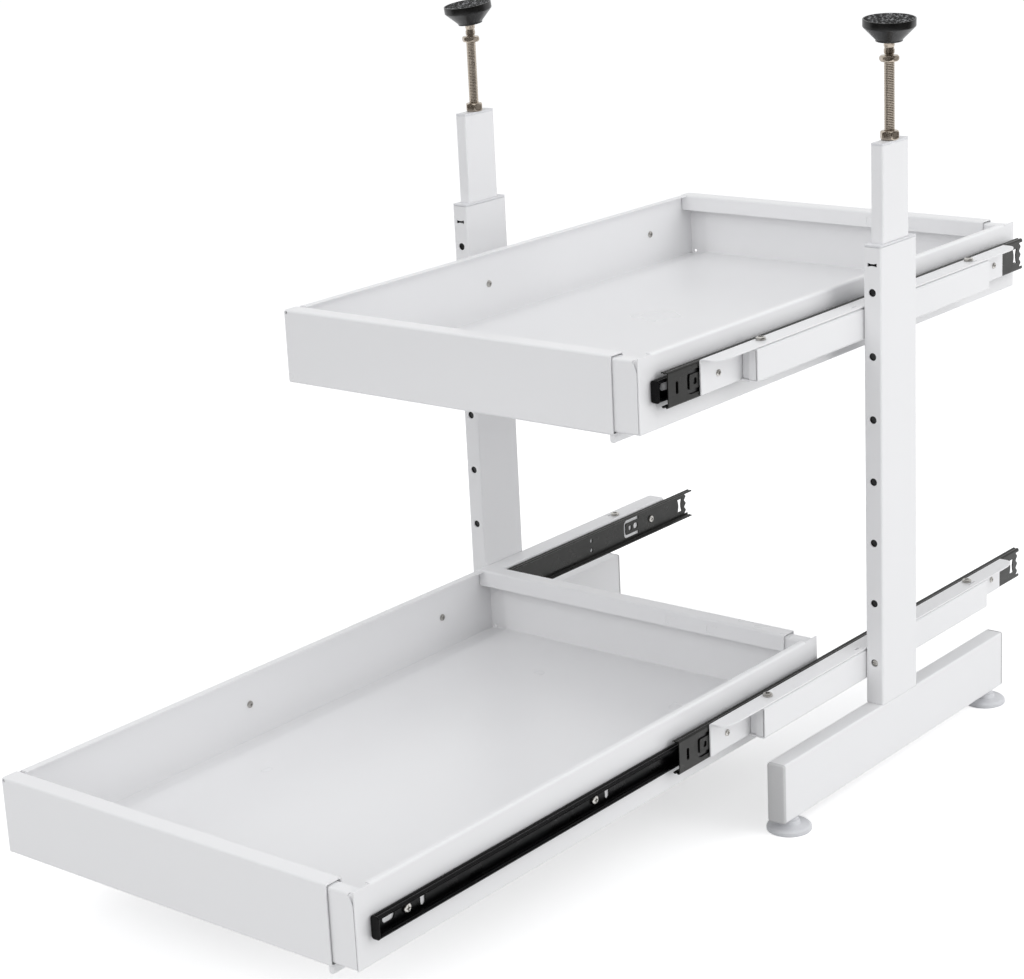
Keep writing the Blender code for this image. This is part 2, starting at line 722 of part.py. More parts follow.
def inner_cap(side):
    """The end plate of the inner post, with a hole for the rod and two legs down inside the tube."""
    centre = (across(side, POST_AXIS), POST_Y)
    outline = round_rectangle(centre, INNER_WIDTH, INNER_DEPTH, INNER_CORNER)
    seat = INNER_TOP + FIT
    plate = skin([at_z(outline, seat), at_z(outline, INNER_CAP_TOP)])
    leg_width = INNER_WIDTH / 2 - INNER_WALL - FIT
    leg_edge = INNER_DEPTH / 2 - INNER_WALL - FIT
    legs = []
    for end in (-1, 1):
        near, far = sorted((POST_Y + end * leg_edge, POST_Y + end * (leg_edge - INNER_CAP_LEG_DEPTH)))
        low = (centre[0] - leg_width, near, seat - INNER_CAP_LEG)
        legs.append(block(low, (centre[0] + leg_width, far, seat + INNER_CAP_PLATE / 2)))
    combine(plate, legs, "UNION")
    return combine(plate, [rod_hole(centre, seat, INNER_CAP_TOP)], "DIFFERENCE")


def rod_hole(centre, low, high):
    """What is cut out for the jack rod to pass through."""
    hole = circle(centre, THREAD_DIAMETER / 2 + FIT, ROUND_SIDES)
    return skin([at_z(hole, low - OVERRUN), at_z(hole, high + OVERRUN)])


def hexagon(centre):
    """A hexagon of the jack's spanner size, with two corners on the X axis."""
    return circle(centre, HEX_FLATS / 2 / math.cos(math.pi / HEX_SIDES), HEX_SIDES)


def lock_nut(side):
    """The nut that locks the rod on top of the inner post."""
    centre = (across(side, POST_AXIS), POST_Y)
    low = INNER_CAP_TOP + FIT
    nut = skin([at_z(hexagon(centre), low), at_z(hexagon(centre), LOCK_NUT_TOP)])
    return combine(nut, [rod_hole(centre, low, LOCK_NUT_TOP)], "DIFFERENCE")


def jack_rod(side):
    """The threaded rod, with its hexagon, collar and the ball that the pad turns on."""
    centre = (across(side, POST_AXIS), POST_Y)
    thread = THREAD_DIAMETER / 2
    collar = COLLAR_DIAMETER / 2
    radius = BALL_DIAMETER / 2
    low = INNER_CAP_TOP - ROD_ENGAGED
    profile = [
        (0, low),
        (thread - ROD_CHAMFER, low),
        (thread, low + ROD_CHAMFER),
        (thread, (ROD_HEX_BOTTOM + ROD_HEX_TOP) / 2),
        (collar, (ROD_HEX_BOTTOM + ROD_HEX_TOP) / 2),
    ]
    start = math.asin(collar / radius)
    for ring in range(BALL_RINGS + 1):
        turn = start + (math.pi - start) * ring / BALL_RINGS
        profile.append((radius * math.sin(turn), BALL_CENTRE - radius * math.cos(turn)))
    profile[-1] = (0, BALL_CENTRE + radius)
    rod = turned(profile, centre)
    head = skin([at_z(hexagon(centre), ROD_HEX_BOTTOM), at_z(hexagon(centre), ROD_HEX_TOP)])
    return combine(rod, [head], "UNION")


def pad(side):
    """The pad that presses on the cabinet's ceiling, with a socket for the rod's ball."""
    radius = BALL_DIAMETER / 2 + FIT
    mouth = PAD_MOUTH_DIAMETER / 2
    outer = PAD_DIAMETER / 2
    shoulder = PAD_BOTTOM + PAD_CONE_HEIGHT
    recess = PAD_TOP - TREAD_DEPTH
    profile = [
        (0, recess),
        (outer - TREAD_RIM, recess),
        (outer - TREAD_RIM, PAD_TOP),
        (outer, PAD_TOP),
        (outer, shoulder),
        (PAD_BASE_DIAMETER / 2, PAD_BOTTOM),
        (mouth, PAD_BOTTOM),
    ]
    start = math.asin(mouth / radius)
    for ring in range(BALL_RINGS + 1):
        turn = start + (math.pi - start) * ring / BALL_RINGS
        profile.append((radius * math.sin(turn), BALL_CENTRE - radius * math.cos(turn)))
    profile[-1] = (0, BALL_CENTRE + radius)
    return turned(profile, (across(side, POST_AXIS), POST_Y))


def tread(side):
    """The grip disc let into the top of the pad."""
    radius = PAD_DIAMETER / 2 - TREAD_RIM - FIT
    low = PAD_TOP - TREAD_DEPTH + FIT
    profile = [(0, low), (radius, low), (radius, PAD_TOP + TREAD_PROUD), (0, PAD_TOP + TREAD_PROUD)]
    return turned(profile, (across(side, POST_AXIS), POST_Y))


def foot(side, end):
    """A levelling foot: a saucer with a neck, and a stud that screws up into the base."""
    outer = FOOT_DIAMETER / 2
    neck = FOOT_NECK_DIAMETER / 2
    stud = FOOT_STUD_DIAMETER / 2
    seat = BASE_CLEARANCE - FIT
    profile = [
        (0, 0),
        (outer, 0),
        (outer, FOOT_RIM),
        (outer - FOOT_SHOULDER, FOOT_RIM + FOOT_SHOULDER),
        (neck, seat - FOOT_NECK_HEIGHT),
        (neck, seat),
        (stud, seat),
        (stud, seat + FOOT_STUD_LENGTH),
        (0, seat + FOOT_STUD_LENGTH),
    ]
    return turned(profile, (across(side, POST_AXIS), foot_y(end)))


def build_frame(name, side, materials):
    """What stands still on one side: base, post, beams, brackets and fixed slide members."""
    body = add_body(f"{name}_frame", (across(side, POST_AXIS), POST_Y, 0))
    white = materials["white_powder_coat"]
    steel = materials["bright_steel"]
    finish(base(side), f"{name}_base", body, white)
    finish(post(side), f"{name}_post", body, white)
    finish(bushing(side), f"{name}_post_bushing", body, materials["white_plastic"])
    finish(post_screw(side), f"{name}_post_screw", body, steel)
    for place, end in (("front", -1), ("rear", 1)):
        finish(base_cap(side, end), f"{name}_{place}_base_cap", body, materials["grey_plastic"])
    for tier in TIERS:
        finish(beam(side, tier), f"{name}_{tier}_beam", body, white)
        finish(bracket(side, tier), f"{name}_{tier}_bracket", body, white)
        finish(rail_member(side, tier), f"{name}_{tier}_rail_member", body, materials["black_slide_steel"])
        for place, end in (("front", -1), ("rear", 1)):
            finish(flange_screw(side, tier, end), f"{name}_{tier}_{place}_flange_screw", body, steel)


def build_jack(name, side, materials):
    """The telescopic inner post and the screw jack on it."""
    axis = (across(side, POST_AXIS), POST_Y)
    inner = add_body(f"{name}_inner_post_body", (*axis, POST_TOP))
    finish(inner_tube(side), f"{name}_inner_post", inner, materials["white_powder_coat"])
    finish(inner_cap(side), f"{name}_inner_post_cap", inner, materials["white_plastic"])
    finish(lock_nut(side), f"{name}_lock_nut", inner, materials["nickel_plate"])
    rod = add_body(f"{name}_jack_rod_body", (*axis, INNER_CAP_TOP))
    finish(jack_rod(side), f"{name}_jack_rod", rod, materials["nickel_plate"])
    ball_joint = add_body(f"{name}_pad_body", (*axis, BALL_CENTRE), PAD_REST_TILT[name])
    finish(pad(side), f"{name}_pad", ball_joint, materials["black_plastic"])
    finish(tread(side), f"{name}_pad_tread", ball_joint, materials["black_rubber"])


def build_feet(name, side, materials):
    """The two levelling feet of one side."""
    for place, end in (("front", -1), ("rear", 1)):
        stand = (across(side, POST_AXIS), foot_y(end), BASE_CLEARANCE)
        body = add_body(f"{name}_{place}_foot_body", stand)
        finish(foot(side, end), f"{name}_{place}_foot", body, materials["white_plastic"])


def build_tray(tier, materials):
    """A tray in two parts, with a slide member on each side."""
    white = materials["white_powder_coat"]
    black = materials["black_slide_steel"]
    front = tray_front(tier)
    tray = add_body(f"{tier}_tray_body", (0, front, slide_height(tier)))
    finish(main_tray(tier), f"{tier}_tray_main", tray, white)
    finish(tray_member(SIDES["left"], tier), f"left_{tier}_tray_member", tray, black)
    extension = add_body(f"{tier}_extension_body", (TRAY_EDGE, front, slide_height(tier)))
    finish(tray_extension(tier), f"{tier}_tray_extension", extension, white)
    finish(tray_member(SIDES["right"], tier), f"right_{tier}_tray_member", extension, black)
    for name, side in SIDES.items():
        stand = (across(side, RAIL_MEMBER_BACK), POST_Y, slide_height(tier))
        cage = add_body(f"{name}_{tier}_cage_body", stand)
        finish(ball_cage(side, tier), f"{name}_{tier}_ball_cage", cage, materials["bright_steel"])


def main():
    clear_scene()
    materials = make_materials()
    for name, side in SIDES.items():
        build_frame(name, side, materials)
        build_jack(name, side, materials)
        build_feet(name, side, materials)
    for tier in TIERS:
        build_tray(tier, materials)


main()
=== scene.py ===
# %% [markdown]
# # A pull-out cabinet organizer
# Two white steel trays roll on ball slides between two posts that clamp in a cabinet. This lesson
# dresses a plain solid model of it: each piece is made again as a finer surface, gets the finish of
# the real one, and rides on the body that carries it. The first step loads the plain model with
# Blender's glTF importer.

# %% Load the plain model
import math

import bmesh
import bpy
import numpy as np
from mathutils import Matrix


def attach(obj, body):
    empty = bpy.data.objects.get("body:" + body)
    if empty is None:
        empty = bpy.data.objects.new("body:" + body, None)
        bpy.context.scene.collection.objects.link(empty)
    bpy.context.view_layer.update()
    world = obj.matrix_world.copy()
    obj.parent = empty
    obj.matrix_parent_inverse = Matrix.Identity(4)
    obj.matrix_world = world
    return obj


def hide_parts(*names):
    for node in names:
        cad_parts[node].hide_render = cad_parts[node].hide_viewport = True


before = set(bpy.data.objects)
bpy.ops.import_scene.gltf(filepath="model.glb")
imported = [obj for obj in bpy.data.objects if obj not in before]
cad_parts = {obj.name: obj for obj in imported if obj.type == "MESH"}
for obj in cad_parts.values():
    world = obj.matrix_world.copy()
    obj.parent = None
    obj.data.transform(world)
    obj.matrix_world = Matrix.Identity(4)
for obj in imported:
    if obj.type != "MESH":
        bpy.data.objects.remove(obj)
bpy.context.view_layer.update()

# %% [markdown]
# ## Surfaces from numbers
# Sheet metal, tube and turned parts are all simple surfaces, so they needn't be modelled by hand. A
# grid of points, worked out as one array, gives exact bends and keeps every size in the script.
# Sizes are in millimetres here, because the real parts are, and become metres in the mesh.

# %% Grids of points become faces
MM = 0.001
WELD = 0.002 * MM


def grid(points, around=False, looped=False):
    """Face (i, j) joins points (i, j), (i, j+1), (i+1, j+1) and (i+1, j) of a grid.

    around closes every row on itself, and looped joins the last row to the first.
    """
    numbers = np.arange(points.shape[0] * points.shape[1]).reshape(points.shape[:2])
    if around:
        numbers = np.hstack([numbers, numbers[:, :1]])
    if looped:
        numbers = np.vstack([numbers, numbers[:1]])
    quads = np.stack([numbers[:-1, :-1], numbers[:-1, 1:], numbers[1:, 1:], numbers[1:, :-1]], axis=-1)
    return points.reshape(-1, 3), quads.reshape(-1, 4), []


def capped(points):
    """A grid closed round, with one face over its first row and one over its last."""
    corners, quads, _ = grid(points, around=True)
    numbers = np.arange(len(corners)).reshape(points.shape[:2])
    return corners, quads, [numbers[0], numbers[-1]]


def add_piece(name, shells):
    """One object from several shells, welded where their points meet and facing outwards."""
    faces = []
    start = 0
    for corners, quads, ends in shells:
        faces += (quads + start).tolist() + [(end + start).tolist() for end in ends]
        start += len(corners)
    mesh = bpy.data.meshes.new(name)
    mesh.from_pydata((np.vstack([shell[0] for shell in shells]) * MM).tolist(), [], faces)
    builder = bmesh.new()
    builder.from_mesh(mesh)
    bmesh.ops.remove_doubles(builder, verts=builder.verts, dist=WELD)
    bmesh.ops.dissolve_degenerate(builder, edges=builder.edges, dist=WELD / 2)
    bmesh.ops.recalc_face_normals(builder, faces=builder.faces)
    builder.to_mesh(mesh)
    builder.free()
    piece = bpy.data.objects.new(name, mesh)
    bpy.context.scene.collection.objects.link(piece)
    return piece


# %% Profiles, and what carries them
PLANES = {"x": (1, 2, 0), "y": (0, 2, 1), "z": (0, 1, 2)}


def pairs(first, second):
    """Two arrays of numbers as one array of points."""
    return np.stack([first, second], axis=-1)


def rounded(corners, radius, steps=5):
    """A path with its corners rounded by arcs.

    Each arc starts radius * tan(half the turn) before its corner. Its points are the centre plus the
    first spoke turned by equal shares of the corner's angle.
    """
    corners = np.asarray(corners, float)
    radius = np.broadcast_to(radius, len(corners) - 2).astype(float)[:, None]
    legs = np.diff(corners, axis=0)
    legs /= np.linalg.norm(legs, axis=1, keepdims=True)
    before, after = legs[:-1], legs[1:]
    turn = np.arctan2(before[:, 0] * after[:, 1] - before[:, 1] * after[:, 0], (before * after).sum(axis=1))
    normal = pairs(-before[:, 1], before[:, 0]) * np.sign(turn)[:, None]
    start = corners[1:-1] - before * radius * np.tan(np.abs(turn) / 2)[:, None]
    centre = start + normal * radius
    angle = turn[:, None] * np.linspace(0, 1, steps + 1)
    spoke = -normal[:, None] * radius[:, None]
    swung = pairs(spoke[..., 0] * np.cos(angle) - spoke[..., 1] * np.sin(angle),
                  spoke[..., 0] * np.sin(angle) + spoke[..., 1] * np.cos(angle))
    arcs = (centre[:, None] + swung).reshape(-1, 2)
    return np.vstack([corners[:1], arcs, corners[-1:]])


def c_path(tips, web, low, high, radius):
    """A C with round corners: from a tip along the top to the web, down it and back to the other tip."""
    return rounded([(tips, high), (web, high), (web, low), (tips, low)], radius)


def full_turn(sides):
    """Equal angles round a circle."""
    return np.linspace(0, 2 * math.pi, sides, endpoint=False)


def circle(angle):
    """Cosine and sine of each angle."""
    return pairs(np.cos(angle), np.sin(angle))


def round_box(centre, size, radius, steps=5):
    """Points round a rectangle with round corners: each corner's centre plus a quarter turn."""
    half = np.asarray(size) / 2 - radius
    signs = np.array([(1, 1), (-1, 1), (-1, -1), (1, -1)])
    angle = math.pi / 2 * (np.arange(4)[:, None] + np.linspace(0, 1, steps + 1))
    return ((np.asarray(centre) + signs * half)[:, None] + radius * circle(angle)).reshape(-1, 2)


def disc(centre, radius, sides=24):
    """Points round a circle: centre plus radius times cosine and sine."""
    return np.asarray(centre) + radius * circle(full_turn(sides))


def carried(profiles, stations, axis):
    """Row i holds profile i at station i: the profile's two numbers go on the two other axes."""
    first, second, along = PLANES[axis]
    profiles = np.asarray(profiles, float)
    if profiles.ndim == 2:
        profiles = np.broadcast_to(profiles, (len(stations), *profiles.shape))
    points = np.empty((*profiles.shape[:2], 3))
    points[..., first] = profiles[..., 0]
    points[..., second] = profiles[..., 1]
    points[..., along] = np.asarray(stations, float)[:, None]
    return points


def band(path, width):
    """Outline of a band along a path: the path pushed half the width to one side, and back on the other."""
    path = np.asarray(path, float)
    tangent = np.gradient(path, axis=0)
    tangent /= np.linalg.norm(tangent, axis=1, keepdims=True)
    normal = pairs(-tangent[:, 1], tangent[:, 0]) * width / 2
    return np.vstack([path + normal, (path - normal)[::-1]])


def ball_profile(radius, height, start=0, steps=9):
    """Half a ball's outline, from an angle to its top: radius times the sine, at height less the cosine."""
    turn = np.linspace(start, math.pi, steps)
    return pairs(radius * np.sin(turn), height - radius * np.cos(turn))


def turned(profile, centre, axis="z", sides=40):
    """A turned surface: a point with radius r at height h goes to r cos a, r sin a round the axis."""
    profile = np.asarray(profile, float)
    rings = np.asarray(centre) + profile[:, :1, None] * circle(full_turn(sides))
    return grid(carried(rings, profile[:, 1], axis), around=True)


def through(outline, low, high, axis):
    """A block with an outline for its section, between two places on an axis."""
    return capped(carried(outline, (low, high), axis))


print("a quarter bend has", len(rounded([(0, 0), (1, 0), (1, 1)], 0.2)), "points")

# %% [markdown]
# ## Cutting, thickening and softening
# A sheet is first a surface without thickness, like paper. Solidify gives it its gauge, and Boolean
# then punches its holes, in the order of a real press shop. No real edge is perfectly sharp, so a
# small live Bevel catches the light, and Weighted Normal keeps the flat faces flat.

# %% Modifiers that finish a piece
EDGE_ANGLE = math.radians(35)
EDGE_STEPS = 2


def apply_modifiers(piece):
    """Work out the piece's modifiers for good."""
    evaluated = piece.evaluated_get(bpy.context.evaluated_depsgraph_get())
    mesh = bpy.data.meshes.new_from_object(evaluated)
    piece.modifiers.clear()
    piece.data = mesh
    mesh.name = piece.name


def thicken(piece, gauge):
    """Give a sheet its gauge, half of it on either side."""
    shell = piece.modifiers.new("gauge", "SOLIDIFY")
    shell.thickness = gauge * MM
    shell.offset = 0
    shell.use_even_offset = True
    apply_modifiers(piece)
    return piece


def folded(name, path, ends, gauge, axis="y"):
    """A sheet of a gauge whose middle line is a path, carried between two places on an axis."""
    return thicken(add_piece(name, [grid(carried(path, ends, axis))]), gauge)


def cut(piece, shells):
    """Punch shells out of a piece."""
    punch = add_piece("punch", shells)
    hole = piece.modifiers.new("hole", "BOOLEAN")
    hole.operation = "DIFFERENCE"
    hole.solver = "EXACT"
    hole.object = punch
    apply_modifiers(piece)
    bpy.data.objects.remove(punch, do_unlink=True)
    return piece


def punched(piece, outlines, low, high, axis):
    """Punch outlines out of a piece, between two places on an axis."""
    return cut(piece, [through(outline, low, high, axis) for outline in outlines])


FINISHES = {}
triangles = {}


def finish(piece, body, replaced=None, slot="white_powder_coat", edge=0.2, look=None):
    """Soften the edges, give the finish, hang the piece on its body and hide the node it replaces."""
    piece.data.shade_smooth()
    if edge:
        bevel = piece.modifiers.new("soft edges", "BEVEL")
        bevel.width = edge * MM
        bevel.segments = EDGE_STEPS
        bevel.limit_method = "ANGLE"
        bevel.angle_limit = EDGE_ANGLE
        piece.modifiers.new("flat faces", "WEIGHTED_NORMAL")
    else:
        piece.data.set_sharp_from_angle(angle=EDGE_ANGLE)
    piece.data.materials.clear()
    piece.data.materials.append(FINISHES[look or slot])
    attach(piece, body)
    if replaced:
        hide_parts(replaced)
    triangles[piece.name] = sum(len(face.vertices) - 2 for face in piece.data.polygons)
    return piece


# %% [markdown]
# ## Materials: a few small helpers
# Colours are easiest to compare with a photograph as sRGB hex values, but Blender mixes light in
# linear values, so one function turns them. Another adds a node with its settings and links, and four
# short ones name what the nodes are for, which keeps a material short enough to read like a recipe.

# %% Hex colours and nodes
def colour(code):
    """Linear colour of an sRGB hex value: below 0.04045 divided by 12.92, above it a power of 2.4."""
    parts = np.array([int(code[place:place + 2], 16) for place in (1, 3, 5)]) / 255
    linear = np.where(parts <= 0.04045, parts / 12.92, ((parts + 0.055) / 1.055) ** 2.4)
    return (*linear.tolist(), 1)


def feed(tree, node, feeds):
    """Set each named socket of a node to a value, or link another node's output to it."""
    for name, value in feeds.items():
        if isinstance(value, bpy.types.NodeSocket):
            tree.links.new(value, node.inputs[name])
        else:
            node.inputs[name].default_value = value


def add(tree, kind, feeds=None, **settings):
    """A node of a kind with its settings and feeds."""
    node = tree.nodes.new(kind)
    for name, value in settings.items():
        setattr(node, name, value)
    feed(tree, node, feeds or {})
    return node


def noise(tree, place, size, detail=2):
    """A noise from 0 to 1 whose pattern is a size in millimetres wide."""
    feeds = {"Vector": place, "Scale": 1 / (size * MM), "Detail": detail}
    return add(tree, "ShaderNodeTexNoise", feeds).outputs["Fac"]


def ranged(tree, value, source, target):
    """A value stretched from a source range to a target range."""
    feeds = {"Value": value, "From Min": source[0], "From Max": source[1],
             "To Min": target[0], "To Max": target[1]}
    return add(tree, "ShaderNodeMapRange", feeds).outputs["Result"]


def tinted(tree, share, low, high):
    """A share from 0 to 1 of the way from one hex colour to another."""
    feeds = {"Factor": share, "A": colour(low), "B": colour(high)}
    return add(tree, "ShaderNodeMix", feeds, data_type="RGBA").outputs["Result"]


def bumped(tree, height, strength, depth):
    """Normals of a relief with a depth in millimetres."""
    feeds = {"Height": height, "Strength": strength, "Distance": depth * MM}
    return add(tree, "ShaderNodeBump", feeds).outputs["Normal"]


def start_finish(look, roughness, metallic=0):
    """A new material: its node tree, its shader and the place on the object."""
    material = bpy.data.materials.new(look)
    material.use_nodes = True
    tree = material.node_tree
    shader = tree.nodes["Principled BSDF"]
    feed(tree, shader, {"Roughness": roughness, "Metallic": metallic})
    FINISHES[look] = material
    return tree, shader, add(tree, "ShaderNodeTexCoord").outputs["Object"]


print("#808080 is", round(colour("#808080")[0], 3), "in linear light")

# %% [markdown]
# ## White powder coat
# The trays, posts and beams are mild steel with a white polyester powder coat, sprayed dry and baked.
# It flows into a smooth satin skin with a fine orange peel, and it is a little glossier where it lies
# thick. Real orange peel is about 1 mm wide, too fine to show, so it is drawn 2.5 mm wide.

# %% White powder coat
PEEL_SIZE = 2.5
FLOW_SIZE = 70
tree, shader, place = start_finish("white_powder_coat", 0.3)
peel = noise(tree, place, PEEL_SIZE)
flow = noise(tree, place, FLOW_SIZE, 3)
feed(tree, shader, {"Base Color": tinted(tree, flow, "#F1F1F2", "#F3F3F4"),
                    "Roughness": ranged(tree, flow, (0, 1), (0.24, 0.36)),
                    "Normal": bumped(tree, peel, 0.15, 0.02)})

# %% [markdown]
# ## Black slide steel
# The slide members are cold-rolled steel strip, roll-formed and then blackened by electroplating. The
# rolls leave fine lines along the slide, and a thin film of grease makes cloudy, glossier patches.
# The lines are a noise stretched forty times along Y. The member on the tray gets a darker copy of the
# same black, painted shade for its place deep in the rail's channel, so one loop makes both looks.

# %% Black slide steel
LINE_SIZE = 0.6
LINE_STRETCH = 1 / 40
GREASE_SIZE = 18
# The second look is a darker copy of the same steel: painted shade for the tray's member.
for look, low, high, metal in (("black_slide_steel", "#1D1D1C", "#2B2B29", 0.5),
                               ("shaded_black_slide_steel", "#0B0B0C", "#141415", 0.8)):
    tree, shader, place = start_finish(look, 0.3, metal)
    stretched = add(tree, "ShaderNodeMapping", {"Vector": place, "Scale": (1, LINE_STRETCH, 1)})
    lines = noise(tree, stretched.outputs["Vector"], LINE_SIZE)
    grease = noise(tree, place, GREASE_SIZE, 3)
    feed(tree, shader, {"Base Color": tinted(tree, lines, low, high),
                        "Roughness": ranged(tree, grease, (0.35, 0.65), (0.24, 0.38)),
                        "Normal": bumped(tree, lines, 0.25, 0.02)})

# %% [markdown]
# ## Zinc-plated and nickel-plated steel
# Screws, balls and cages are zinc-plated: a cool, slightly cloudy grey. The jacks' rods and nuts are
# nickel-plated, which is warmer and glossier. Both are metals, so the colour tints the reflections,
# and a fine noise in the roughness breaks them up as tumbled plating does.

# %% Zinc and nickel plate
PLATE_GRAIN = 5
for look, low, high, smooth, rough in (("bright_steel", "#B4B2AE", "#CBC9C5", 0.24, 0.4),
                                       ("nickel_plate", "#AA9F92", "#BDB3A6", 0.22, 0.34)):
    tree, shader, place = start_finish(look, smooth, 1)
    grain = noise(tree, place, PLATE_GRAIN, 3)
    feed(tree, shader, {"Base Color": tinted(tree, grain, low, high),
                        "Roughness": ranged(tree, grain, (0.3, 0.7), (smooth, rough))})

# %% [markdown]
# ## Moulded plastics
# Feet, sleeves and caps are injection-moulded. The feet are polyethylene, which lets a little light
# in and looks milky. The grey caps and the black pads are polypropylene from spark-eroded moulds,
# whose fine pits are about half a millimetre and are drawn 0.9 mm wide to show.

# %% White, milky, grey and black plastic
PIT_SIZE = 0.9
for look, low, high, dull in (("white_plastic", "#E2E3E6", "#E9E9EB", 0.4),
                              ("milky_plastic", "#D6D7DA", "#DEDFE2", 0.4),
                              ("grey_plastic", "#CCCCCD", "#D4D4D4", 0.5),
                              ("black_plastic", "#030304", "#080809", 0.3)):
    tree, shader, place = start_finish(look, dull)
    pits = noise(tree, place, PIT_SIZE)
    feed(tree, shader, {"Base Color": tinted(tree, pits, low, high), "IOR": 1.49,
                        "Normal": bumped(tree, pits, 0.3, 0.03)})
tree = FINISHES["milky_plastic"].node_tree
feed(tree, tree.nodes["Principled BSDF"], {"Subsurface Weight": 0.2, "Subsurface Radius": (1, 1, 1),
                                           "Subsurface Scale": 2 * MM})

# %% [markdown]
# ## Grip rubber
# The disc in the top of each pad is black rubber with a rough, chalky bloom, which the photograph
# shows as grey speckle. A noise that is cut off high up leaves scattered specks, and the same noise
# raises them a little.

# %% Grip rubber
SPECK_SIZE = 2.6
tree, shader, place = start_finish("black_rubber", 0.75)
specks = noise(tree, place, SPECK_SIZE)
bloom = ranged(tree, specks, (0.52, 0.68), (0, 1))
feed(tree, shader, {"Base Color": tinted(tree, bloom, "#0C0C0D", "#9A9B9D"),
                    "Normal": bumped(tree, specks, 0.5, 0.1)})
print(len(FINISHES), "finishes:", ", ".join(FINISHES))

# %% [markdown]
# ## Where things stand
# X runs across the trays, Y back into the cabinet and Z up, and the origin is on the floor. The left
# and right frames mirror each other, so places across the width are counted outwards from a tray's
# side face, and one function serves both sides.

# %% Sizes that the pieces share, in millimetres
TRAY_EDGE = 165
TRAY_DEPTH = 535
TRAY_HEIGHT = 57
SIDES = {"left": -1, "right": 1}
TIERS = {"lower": {"rim": 117, "front": -423.5, "slide": 88.5},
         "upper": {"rim": 386, "front": -111.5, "slide": 360}}
SLIDES = [(f"{side}_{tier}", side, tier, TIERS[tier]["slide"]) for side in SIDES for tier in TIERS]
POST_Y = 164.5
POST_AXIS = 34
FOOT_PLACES = {"front": 14.5, "rear": 314.5}


def tray_limits(tier):
    """Heights of a tray's rim and underside, and the places of its front and rear."""
    rim, front = TIERS[tier]["rim"], TIERS[tier]["front"]
    return rim, rim - TRAY_HEIGHT, front, front + TRAY_DEPTH


def outwards(side, distance):
    """X of a place a distance outwards from the tray's side face."""
    return SIDES[side] * (TRAY_EDGE + distance)


def between(side, near, far):
    """X of two places outwards from the tray's side face, the lower one first."""
    return sorted((outwards(side, near), outwards(side, far)))


def facing(side, outline):
    """An outline in (distance outwards, height) turned to (X, height) on its own side."""
    outline = np.asarray(outline, float)
    return pairs(SIDES[side] * (TRAY_EDGE + outline[:, 0]), outline[:, 1])


print("the posts stand at X", outwards("left", POST_AXIS), "and", outwards("right", POST_AXIS))

# %% [markdown]
# ## Screws
# Pan-head screws with a cross recess hold the slides, brackets and beams. The head is a turned dome,
# and the recess is a plus-shaped punch. A real recess tapers, but at this size only its dark cross
# shows.

# %% Pan-head screws
CROSS_REACH = 0.27
CROSS_WIDTH = 0.32
CROSS_DEPTH = 0.55
HEAD_FLAT = 0.62
HEAD_EDGE = 0.45


def cross_outline(centre, reach):
    """A plus sign: the twelve corners of two crossed bars."""
    thin = reach * CROSS_WIDTH
    corners = np.array([(thin, thin), (thin, reach), (-thin, reach), (-thin, thin), (-reach, thin),
                        (-reach, -thin), (-thin, -thin), (-thin, -reach), (thin, -reach), (thin, -thin),
                        (reach, -thin), (reach, thin)], float)
    return np.asarray(centre) + corners


def screw(centre, seat, way, axis, head, height, shank=0, length=0):
    """A pan head and its recess punch.

    The head's radius falls as the cosine and its height rises as the sine of a quarter turn.
    way is 1 or -1, the direction that the head faces along the axis.
    """
    turn = np.linspace(0, math.pi / 2, 7)
    dome = pairs(head / 2 * (HEAD_FLAT + (1 - HEAD_FLAT) * np.cos(turn)),
                 seat + way * height * (HEAD_EDGE + (1 - HEAD_EDGE) * np.sin(turn)))
    start = [(0, seat), (head / 2, seat)]
    if shank:
        end = seat - way * length
        start = [(0, end), (shank / 2, end), (shank / 2, seat), (head / 2, seat)]
    profile = np.vstack([start, dome, [(0, seat + way * height)]])
    punch = through(cross_outline(centre, head * CROSS_REACH), seat + way * height * (1 - CROSS_DEPTH),
                    seat + way * (height + 1), axis)
    return turned(profile, centre, axis, 28), punch


def add_screws(name, places, seat, way, axis, size, body, replaced=None):
    """One piece from equal screws at several places, each with its recess."""
    shells, punches = zip(*[screw(place, seat, way, axis, *size) for place in places])
    return finish(cut(add_piece(name, shells), punches), body, replaced, "bright_steel", edge=0)


# %% [markdown]
# ## Tray: main part
# Each tray is two pans of 1 mm sheet that slide into each other to set the width. The main part is
# folded from one blank: a lip, a hollow rim, the wall and the floor, and the same at the rear. Its
# left end is a wall of its own with a narrow flange, and the front and rear sheets cover its edges.
# A profile carried along X makes the fold, a block makes room for the wall, and a second profile
# carried along Y makes that. The right edge is hemmed down below the floor, which stiffens it.

# %% Folds that both parts of a tray share
SHEET = 1.0
SLACK = 0.05
RIM_FLANGE = 15
RIM_LIP = 13.5
BEND = 1.5
WALL_BEND = 1.0
CORNER_GAP = 0.6
FLANGE_NOTCH = 0.6


def pan_profile(tier, step):
    """Middle line in Y and Z of a pan's lips, rims, walls and floor, a step inside the outer pan."""
    rim, bottom, front, rear = tray_limits(tier)
    inset = step + SHEET / 2
    front_lip = front + RIM_FLANGE - inset
    rear_lip = rear - RIM_FLANGE + inset
    corners = [(front_lip, rim - RIM_LIP), (front_lip, rim - inset), (front + inset, rim - inset),
               (front + inset, bottom + inset), (rear - inset, bottom + inset), (rear - inset, rim - inset),
               (rear_lip, rim - inset), (rear_lip, rim - RIM_LIP)]
    return rounded(corners, BEND)


